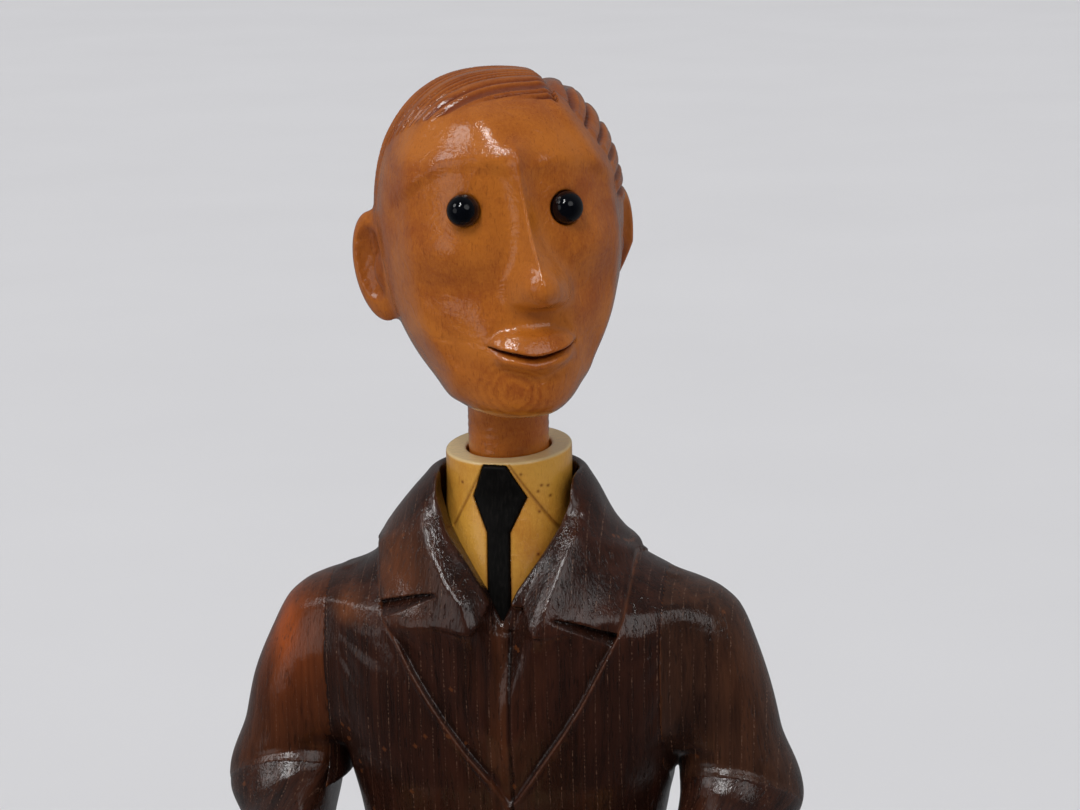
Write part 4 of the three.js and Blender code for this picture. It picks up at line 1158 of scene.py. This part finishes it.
def mouth(x, y, z, d):
    above = z - slit_level(x)
    ends = np.abs(x - MOUTH_X) / MOUTH_HALF
    facing = ramp(-y, 14, 17)
    full = np.sqrt(np.clip(1 - ends**2, 0, 1))
    reach = 3.6 * full
    slope = 1.8 - 1.25 * np.clip(above / (reach + 0.1), 0, 1)
    upper = slope * ramp(above, -0.5, 0.3) * fade(above, reach - 0.5, reach + 0.3) * ramp(full, 0, 0.8)
    lower = 1.15 * bump(above + 1.45, 1.2) * ramp(full, 0.1, 0.8)
    under = 0.3 * bump(above + 3.9 * full, 1.1) * ramp(full, 0.1, 0.6)
    top = 0.3 * bump(above - 4.6 * full, 0.9) * ramp(full, 0.3, 0.8)
    line = 0.5 * bump(above, 0.4) * ramp(full, 0, 0.4)
    d = d + facing * (line + under + top - upper - lower)
    slit = np.abs(above - 0.05) - 0.34 * full
    slit = both(both(slit, -d - 1.5, 0.3), y + 14)
    return cut(d, slit, 0.25)


def skull(x, y, z):
    d = skull_form(x, y, z) - face_relief(x, y, z)
    d = join(d, nose(x, y, z), 1.7)
    d = mouth(x, y, z, d)
    inside = hair_depth(x, y, z)
    raised = ramp(inside, -0.2, 0.9)
    left = ramp(x, PARTING_X - 0.6, PARTING_X + 0.6)
    stand = 0.2 + 0.1 * left - 0.9 * left * bump(x - 7.5, 2.4) * ramp(z, 44, 48)
    d -= raised * (stand - (0.5 + 0.5 * left) * combing(x, y, z))
    part = fade(y, 8, 14) * ramp(z, 40, 46)
    d += 0.7 * part * bump(x - PARTING_X, 0.9) * ramp(inside, -0.5, 1.5)
    for sign in (1, -1):
        d = join(d, ear(x, y, z, sign), 1.3)
    for eye in EYES:
        socket = rod(x, y, z, eye, np.add(eye, (0, -9, 0)), EYE_RADIUS + 0.1)
        d = cut(d, egg(x, y, z, eye, (EYE_RADIUS + 0.1,) * 3), 0.2)
        d = cut(d, socket, 0.2)
    return d


def head(x, y, z):
    around = np.hypot(x, y)
    neck = both(around - NECK_RADIUS, z - CHIN - 15)
    rings = 0.03 * np.sin(z * 5.2) * fade(z, CHIN - 3.5, CHIN - 2)
    d = join(skull(*to_head(x, y, z)), neck + rings, 3.6)
    d = both(d, NECK_FOOT - z, 0.6)
    return cut(d, both(around - PEG_BORE, z - NECK_FOOT - NECK_HOLE))


def head_stain_and_shade(x, y, z):
    """Darker stain in the hair and its furrows; painted shade in the mouth's slit and the ears' hollows, and
    a painted shadow under the nose.
    """
    hx, hy, hz = to_head(x, y, z)
    ears = join(ear(hx, hy, hz, 1), ear(hx, hy, hz, -1))
    inside = ramp(hair_depth(hx, hy, hz), 0, 0.8) * ramp(ears, 0.1, 0.5)
    groove = inside * combing(hx, hy, hz)
    # Painted shade along the mouth's slit, and a painted shadow under the nose.
    painted_mouth_shade = bump(hz - slit_level(hx), 0.42) * fade(np.abs(hx - MOUTH_X), 5.6, 6.9) * (hy < -14)
    painted_nose_shadow = 0.35 * dome(hx, hz, (1.4, 17.6), 3.6, 1.5) * (hy < -18)
    # Painted shade in the ears' hollows.
    hollows = join(*[ear_hollow(*ear_space(hx, hy, hz, sign)) for sign in (1, -1)])
    painted_ear_shade = 0.5 * ramp(-hollows, -0.5, 0.3)
    return np.clip(0.12 * inside + 0.75 * groove + painted_mouth_shade + painted_nose_shadow + painted_ear_shade, 0, 1)


# Trousers and shoes

LEG_LENGTH = 78
ANKLE_X = 11.8
LEG_ROWS = (  # share of the length, half width, half depth, place in Y
    (-0.02, 7.44, 8.88, 1.4),
    (0, 7.44, 8.88, 1.4),
    (0.02, 7.75, 9.25, 1.4),
    (0.09, 7.52, 8.97, 1.6),
    (0.28, 7.75, 9.25, 1.8),
    (0.5, 8.6, 10.17, 1),
    (0.75, 9.41, 11.15, 0.6),
    (0.93, 9.8, 11.5, 0.4),
    (1.02, 9.8, 11.5, 0.4),
)
leg_wide, leg_deep, leg_y = curves(LEG_ROWS, 1, 1, 1)
FOOT_Y = 3


def trouser_leg(sign):
    def shape(x, y, z):
        share = (z - TROUSER_FOOT) / LEG_LENGTH
        side = x * sign - (ANKLE_X - share)
        fore = y - leg_y(share)
        d = oval(side, fore, leg_wide(share), leg_deep(share), 2.3)
        front = ramp(-fore, 3, 7)
        back = ramp(fore, 3, 7)
        d -= 0.5 * bump(side, 0.7) * (front * fade(share, 0.9, 1) + 0.8 * back)
        knee = bump(share - 0.52, 0.05)
        d += 0.32 * np.sin(z * 0.75 + 0.18 * side * sign) * knee * back
        d += 0.34 * np.sin(z * 0.7 - 0.15 * side) * bump(share - 0.13, 0.075) * front
        d -= 0.45 * fade(share, 0.072, 0.079)  # the turn-up
        d = both(d, TROUSER_FOOT - z, 0.5)
        return both(d, z - HEM + 0.04)
    return shape


SHOE_ROWS = (  # place along the foot from the heel, half width, height
    (-25.2, 0.6, 1.6),
    (-25, 2.03, 2.7),
    (-22.8, 4.46, 4.28),
    (-19, 6.35, 5.32),
    (-14, 6.75, 6.46),
    (-8, 6.08, 8.17),
    (-4, 5.67, 9.5),
    (4, 6.08, 9.5),
    (7.4, 5.4, 8.55),
    (9, 3.38, 5.9),
    (9.2, 0.6, 3),
)
shoe_wide, shoe_high = curves(SHOE_ROWS, 1, 1)
TOE_OUT = math.radians(9)
SHOE_MIDDLE = -8  # along the foot
SOLE_HALF = 17.1  # half the sole's length
UPPER_IN = 0.35  # how far the upper stands in from the sole's edge


def shoe(x, y, z):
    side = x - ANKLE_X
    fore = y - FOOT_Y
    a = side * math.cos(TOE_OUT) + fore * math.sin(TOE_OUT)
    b = -side * math.sin(TOE_OUT) + fore * math.cos(TOE_OUT)
    up = z - SOLE
    wide = shoe_wide(b)
    along = np.abs(b - SHOE_MIDDLE)
    upper = oval(a, up, wide - UPPER_IN, shoe_high(b), 2.3)
    upper = both(upper, along - (SOLE_HALF - UPPER_IN), 1.5)
    welt = both(np.abs(a) - wide, along - SOLE_HALF, 3)
    heel = ramp(b, -1.2, -0.6)
    thick = 1.5 + 0.9 * heel
    sole = both(welt, up - thick, 0.35)
    d = join(upper, sole, 0.12)
    arch = both(np.abs(b + 2.4) - 1.6, up - 0.9, 0.5)
    d = cut(d, arch, 0.5)
    toecap = bump(b + 17.2 + 0.05 * a * a, 0.28) * ramp(up, 1.6, 2.4)
    tongue = outline(np.abs(a), b, [(-1, -13.2), (1.9, -12.6), (2.7, -6), (-1, -6)])
    d += 0.28 * toecap + 0.3 * bump(tongue, 0.26) * ramp(up, 4, 5)
    for place in (-11.6, -10, -8.4):
        lace = bump(b - place, 0.42) * (np.abs(a) < 2.3) * ramp(up, 4, 5)
        d -= 0.42 * lace
    d = both(d, -up, 0.2)
    return both(d, z - TROUSER_FOOT + 0.26)


# Hard-edged pieces made from rings of points

def mesh_piece(name, build, bevel=0.0):
    mesh = bpy.data.meshes.new(name)
    shape = bmesh.new()
    build(shape)
    bmesh.ops.recalc_face_normals(shape, faces=shape.faces)
    shape.to_mesh(mesh)
    shape.free()
    piece = bpy.data.objects.new(name, mesh)
    bpy.context.scene.collection.objects.link(piece)
    if bevel:
        edge = piece.modifiers.new("rounded_edges", "BEVEL")
        edge.width = bevel
        edge.segments = 3
        edge.limit_method = "ANGLE"
    mesh.shade_smooth()
    return piece


def rings_through(shape, rings):
    """Joins closed rings of points with quads and closes both ends."""
    made = [[shape.verts.new(p) for p in ring] for ring in rings]
    for low, high in zip(made, made[1:]):
        for i in range(len(low)):
            j = (i + 1) % len(low)
            shape.faces.new((low[i], low[j], high[j], high[i]))
    shape.faces.new(list(reversed(made[0])))
    shape.faces.new(made[-1])


def square_ring(low, high, z):
    return [(low[0], low[1], z), (high[0], low[1], z), (high[0], high[1], z), (low[0], high[1], z)]


def slab(shape, low, high):
    rings_through(shape, [square_ring(low, high, z) for z in (low[2], high[2])])


def tray(shape, low, high, hole_low, hole_high, depth):
    """A board with a shallow recess in its top face."""
    levels = (low[2], high[2], high[2], high[2] - depth)
    corners = ((low, high), (low, high), (hole_low, hole_high), (hole_low, hole_high))
    rings_through(shape, [square_ring(*pair, z) for pair, z in zip(corners, levels)])


def round_rect(half_x, half_y, corner, z, steps=10):
    points = []
    for cx, cy, start in ((1, -1, -90), (1, 1, 0), (-1, 1, 90), (-1, -1, 180)):
        for i in range(steps + 1):
            a = math.radians(start + 90 * i / steps)
            x = cx * (half_x - corner) + corner * math.cos(a)
            y = cy * (half_y - corner) + corner * math.sin(a)
            points.append(Vector((x, y, z)))
    return points


def plinth(shape):
    low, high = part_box("base_plinth")
    half_x, half_y, top = high[0], high[1], high[2]
    profile = [  # how far in from the side, and the level
        (0.0006, 0), (0.0001, 0.0004), (0, 0.001), (0, top - 0.0048), (0.0002, top - 0.0042),
        (0.0008, top - 0.0038), (0.0012, top - 0.0036), (0.0013, top - 0.0028), (0.0018, top - 0.0016),
        (0.0026, top - 0.0008), (0.0036, top - 0.0002), (0.0044, top),
    ]
    corner = 0.007
    rings_through(shape, [round_rect(half_x - i, half_y - i, corner - i, z) for i, z in profile])


BEAD_RINGS = 28
BEAD_SIDES = 48
BEAD_FLAT = 0.985  # the share of the radius where the polishing flat lies
BEAD_DEEP = 0.97  # its depth as a share of its width


def bead(centre, facing):
    """A polished bead, a little flattened, with a small flat where it was held for polishing."""
    turn = Vector((0, 0, 1)).rotation_difference(facing).to_matrix() * (EYE_RADIUS * MM)

    def point(a, b):
        wide, level = math.sin(a), BEAD_DEEP * min(-math.cos(a), BEAD_FLAT)
        return centre + turn @ Vector((wide * math.cos(b), wide * math.sin(b), level))

    def build(shape):
        rings_through(shape, [
            [point(math.pi * i / BEAD_RINGS, 2 * math.pi * k / BEAD_SIDES) for k in range(BEAD_SIDES)]
            for i in range(1, BEAD_RINGS)
        ])
    return build


RECESS_MARGIN = 0.2 * MM
RECESS_DEPTH = 1.2 * MM


def board(shape):
    low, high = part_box("computer_base")
    keys_low, keys_high = (Vector(corner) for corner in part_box("computer_keys"))
    margin = Vector((RECESS_MARGIN, RECESS_MARGIN, 0))
    tray(shape, low, high, keys_low - margin, keys_high + margin, RECESS_DEPTH)


KEY_ROWS = 4
KEY_COLUMNS = 9
KEY_PITCH = 2.7 * MM
KEY_HALF = 1.1 * MM
KEY_SUNK = 0.1 * MM
PLATE = 0.7 * MM  # thickness of the plate that the keys stand on


def key_rows(shape):
    low, high = (Vector(corner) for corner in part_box("computer_keys"))
    middle = (low + high) / 2
    slab(shape, low, (high.x, high.y, low.z + PLATE))
    for row in range(KEY_ROWS):
        for column in range(KEY_COLUMNS):
            x = middle.x + (column - (KEY_COLUMNS - 1) / 2) * KEY_PITCH
            y = middle.y + (row - (KEY_ROWS - 1) / 2) * KEY_PITCH
            foot = (x - KEY_HALF, y - KEY_HALF, low.z + PLATE - KEY_SUNK)
            slab(shape, foot, (x + KEY_HALF, y + KEY_HALF, high.z))


# Assembly

CHIN_SWIRL = HEAD_TURN @ Vector((-2.4, -20.7, 5.6)) + Vector((0, 0, CHIN))  # where the grain curls
fore_turn = Vector(FORE).rotation_difference(Vector((0, 0, 1))).to_euler()
ACROSS = (0, math.pi / 2, 0)  # turns the grain to run along X
EYES_APART = 0.12  # how far sideways each eye faces, as a share of how far it faces forwards
HONEY = (182, 104, 32), (144, 70, 18)
skin = dense_wood("honey_wood", *HONEY, gloss=0.08, stain_and_shade_tint=(148, 80, 28), swirl=tuple(CHIN_SWIRL),
                  hollows=0.35)
hand_skin = dense_wood("honey_wood_hands", *HONEY, turn=(1.2, 0, 0))
cream = dense_wood("cream_wood", (212, 156, 62), (186, 122, 40), gloss=0.16, contrast=0.5,
                   stain_and_shade_tint=(130, 76, 34), bare=(216, 190, 138))
key_wood = dense_wood("pale_key_wood", (226, 194, 140), (204, 164, 106), gloss=0.3, contrast=0.5)
dowel_wood = dense_wood("bare_dowel_wood", (224, 192, 142), (204, 166, 112), gloss=0.6)
coat_wood = open_wood("dark_open_wood", (66, 35, 24), (31, 16, 12), warm=(124, 70, 38))
left_arm_wood = open_wood("dark_open_wood_left_arm", (72, 44, 30), (34, 19, 14), warm=(124, 72, 40))
right_arm_wood = open_wood("dark_open_wood_right_arm", (80, 42, 22), (38, 18, 10), pores_and_glints=0.5,
                           warm=(152, 72, 28))
fore_wood = open_wood("dark_open_wood_forearms", (66, 36, 24), (28, 15, 12), turn=tuple(fore_turn))
trouser_wood = open_wood("dark_trouser_wood", (104, 62, 36), (58, 32, 20), gloss=0.24)
shoe_wood = open_wood("black_stained_wood", (40, 26, 20), (16, 11, 9), gloss=0.12, pores_and_glints=0.5)
button_wood = open_wood("button_wood", (52, 30, 20), (24, 14, 10), gloss=0.14, pores_and_glints=0.4)
plinth_wood = open_wood("plinth_wood", (150, 96, 54), (96, 56, 30), turn=ACROSS, gloss=0.25)
board_wood = open_wood("board_wood", (176, 122, 72), (132, 84, 46), turn=ACROSS, gloss=0.3)
screw_brass = brass()
eye_black = black_bead()

place(carve("carved_coat", coat, (-31, -21, HEM - 1), (31, 20, COAT_TOP + 1), 0.34, coat_warmth_and_shade),
      "figure", coat_wood, "coat_wood", "coat_body")
place(carve("turned_shirt", shirt, (-11.5, -14, RIM - 28.5), (11.5, 11, RIM + 2.2), 0.21, shirt_stain),
      "figure", cream, "shirt_wood", "shirt_collar")
place(carve("inlaid_tie", tie, (-5, -14.5, RIM - 26.5), (5, -7, RIM + 0.5), 0.2),
      "figure", black_stain(), "black_paint", "tie")
for node, level in zip(BUTTONS, BUTTON_LEVELS):
    low, high = box_mm(node)
    front = (high[0] + 0.6, low[1] + 2.4, high[2] + 0.6)
    place(carve("turned_" + node, button(level), low - 0.6, front, 0.12),
          "figure", button_wood, "button_wood", node)
place(carve("carved_head", head, (-26, -31, NECK_FOOT - 1), (26, 27, CHIN + 56), 0.3, head_stain_and_shade),
      "head", skin, "skin_wood", "head")
for side, sign, arm_wood, warmth in (
    ("left", 1, left_arm_wood, left_sleeve_warmth),
    ("right", -1, right_arm_wood, right_sleeve_warmth_and_glow),
):
    for made, kind, shape, margin, cell, wood, slot, stain_and_painted_light in (
        ("carved", "upper_sleeve", sleeve(sign, False), 1, 0.38, arm_wood, "coat_wood", warmth),
        ("carved", "fore_sleeve", sleeve(sign, True), 1, 0.4, fore_wood, "coat_wood", None),
        ("turned", "cuff", mirrored(cuff, sign), 1.5, 0.25, cream, "shirt_wood", None),
        ("carved", "hand", mirrored(hand, sign), 1, 0.25, hand_skin, "skin_wood", None),
        ("carved", "trouser_leg", trouser_leg(sign), 1, 0.5, trouser_wood, "trouser_wood", None),
        ("carved", "shoe", mirrored(shoe, sign), 1, 0.3, shoe_wood, "shoe_wood", None),
    ):
        node = f"{side}_{kind}"
        low, high = box_mm(node)
        piece = carve(f"{side}_{made}_{kind}", shape, low - margin, high + margin, cell, stain_and_painted_light)
        place(piece, "figure", wood, slot, node)
    low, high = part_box(side + "_eye")
    facing = HEAD_TURN @ Vector((EYES_APART * sign, -1, 0))
    eye = bead((Vector(low) + Vector(high)) / 2, facing)
    place(mesh_piece(side + "_bead_eye", eye), "head", eye_black, "eye_bead", side + "_eye")
    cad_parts[side + "_base_screw"].data.materials[0] = screw_brass
    for joint in ("ankle", "hip", "shoulder", "elbow", "wrist"):
        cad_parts[f"{side}_{joint}_dowel"].data.materials[0] = dowel_wood
for name, build, bevel, wood, slot, node in (
    ("moulded_plinth", plinth, 0, plinth_wood, "plinth_wood", "base_plinth"),
    ("computer_board", board, 0.4 * MM, board_wood, "computer_wood", "computer_base"),
    ("computer_key_rows", key_rows, 0.22 * MM, key_wood, "key_wood", "computer_keys"),
):
    place(mesh_piece(name, build, bevel), "figure", wood, slot, node)
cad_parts["neck_peg"].data.materials[0] = dowel_wood
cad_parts["computer_lid"].data.materials[0] = board_wood
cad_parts["computer_screen"].data.materials[0] = screen_enamel()


# Floor, light and camera

FLOOR_HALF = 8  # metres
FLOOR_THICK = 0.02


def floor():
    def build(shape):
        rings_through(shape, [round_rect(FLOOR_HALF, FLOOR_HALF, 1, z) for z in (-FLOOR_THICK, 0)])
    piece = mesh_piece("floor", build)
    piece.visible_glossy = False
    piece.data.materials.append(pale_floor())


def far_light(name, azimuth, elevation, spread, strength):
    """A distant soft light that comes from azimuth, where 0 is the camera's side, and elevation."""
    data = bpy.data.lights.new(name, "SUN")
    data.angle = math.radians(spread)
    data.energy = strength
    light = bpy.data.objects.new(name, data)
    a, e = math.radians(azimuth), math.radians(elevation)
    towards = Vector((math.sin(a) * math.cos(e), -math.cos(a) * math.cos(e), math.sin(e)))
    light.rotation_euler = towards.to_track_quat("Z", "Y").to_euler()
    light.location = towards
    bpy.context.scene.collection.objects.link(light)


MIRRORED_SKY = 0.18  # how much of its strength the sky keeps in reflections


def sky(behind_man, behind_camera):
    """A pale room that is brighter behind the man than behind the camera."""
    world = bpy.data.worlds.new("pale_room")
    bpy.context.scene.world = world
    n = Nodes(world, "Background")
    across = n.add("ShaderNodeSeparateXYZ", {0: n.add("ShaderNodeTexCoord", output="Generated")}, "Y")
    glossy = n.add("ShaderNodeLightPath", output="Is Glossy Ray")
    dim = n.add("ShaderNodeMapRange", {"Value": glossy, "To Min": 1, "To Max": MIRRORED_SKY}, "Result")
    n.set(Color=(0.96, 0.97, 1, 1))
    n.set(Strength=n.times(n.levels(across, -0.7, 0.5, behind_camera, behind_man), dim))


# The photograph's camera: the collar's rim, on the neck axis, shows at RIM_PIXEL of 1080 by 810.
AZIMUTH = math.radians(9)
ELEVATION = math.radians(13)
ROLL = math.radians(-1)
DISTANCE = 0.45
METRES_PER_PIXEL = 0.00016
RIM_PIXEL = (509, 446)
PHOTO = (1080, 810)
SENSOR = 36


def camera():
    view = Vector((
        -math.sin(AZIMUTH) * math.cos(ELEVATION),
        math.cos(AZIMUTH) * math.cos(ELEVATION),
        -math.sin(ELEVATION),
    ))
    right = Vector((math.cos(AZIMUTH), math.sin(AZIMUTH), 0))
    up = right.cross(view)
    right, up = (
        math.cos(ROLL) * right + math.sin(ROLL) * up,
        math.cos(ROLL) * up - math.sin(ROLL) * right,
    )
    across = (PHOTO[0] / 2 - RIM_PIXEL[0]) * METRES_PER_PIXEL
    down = (PHOTO[1] / 2 - RIM_PIXEL[1]) * METRES_PER_PIXEL
    eye = Vector((0, 0, RIM * MM)) - DISTANCE * view + across * right - down * up
    data = bpy.data.cameras.new("photo_camera")
    data.sensor_fit = "HORIZONTAL"
    data.sensor_width = SENSOR
    data.lens = SENSOR * DISTANCE / METRES_PER_PIXEL / PHOTO[0]
    data.clip_start = 0.01
    item = bpy.data.objects.new("photo_camera", data)
    axes = Matrix((right, up, -view)).transposed().to_4x4()
    item.matrix_world = Matrix.Translation(eye) @ axes
    bpy.context.scene.collection.objects.link(item)
    bpy.context.scene.camera = item


LIGHTS = (  # name, azimuth, elevation and spread in degrees, and strength
    ("window_0", -17, 40, 7, 0.45),
    ("window_1", -12, 49, 7, 0.45),
    ("window_2", -19, 58, 7, 0.45),
    ("side_window", -62, 34, 20, 0.4),
    ("room", 40, 30, 34, 0.42),
    ("white_wall", -47, 5, 30, 0.17),
)

floor()
sky(0.9, 0.14)
for light in LIGHTS:
    far_light(*light)
bpy.context.scene.view_settings.view_transform = "Standard"
camera()
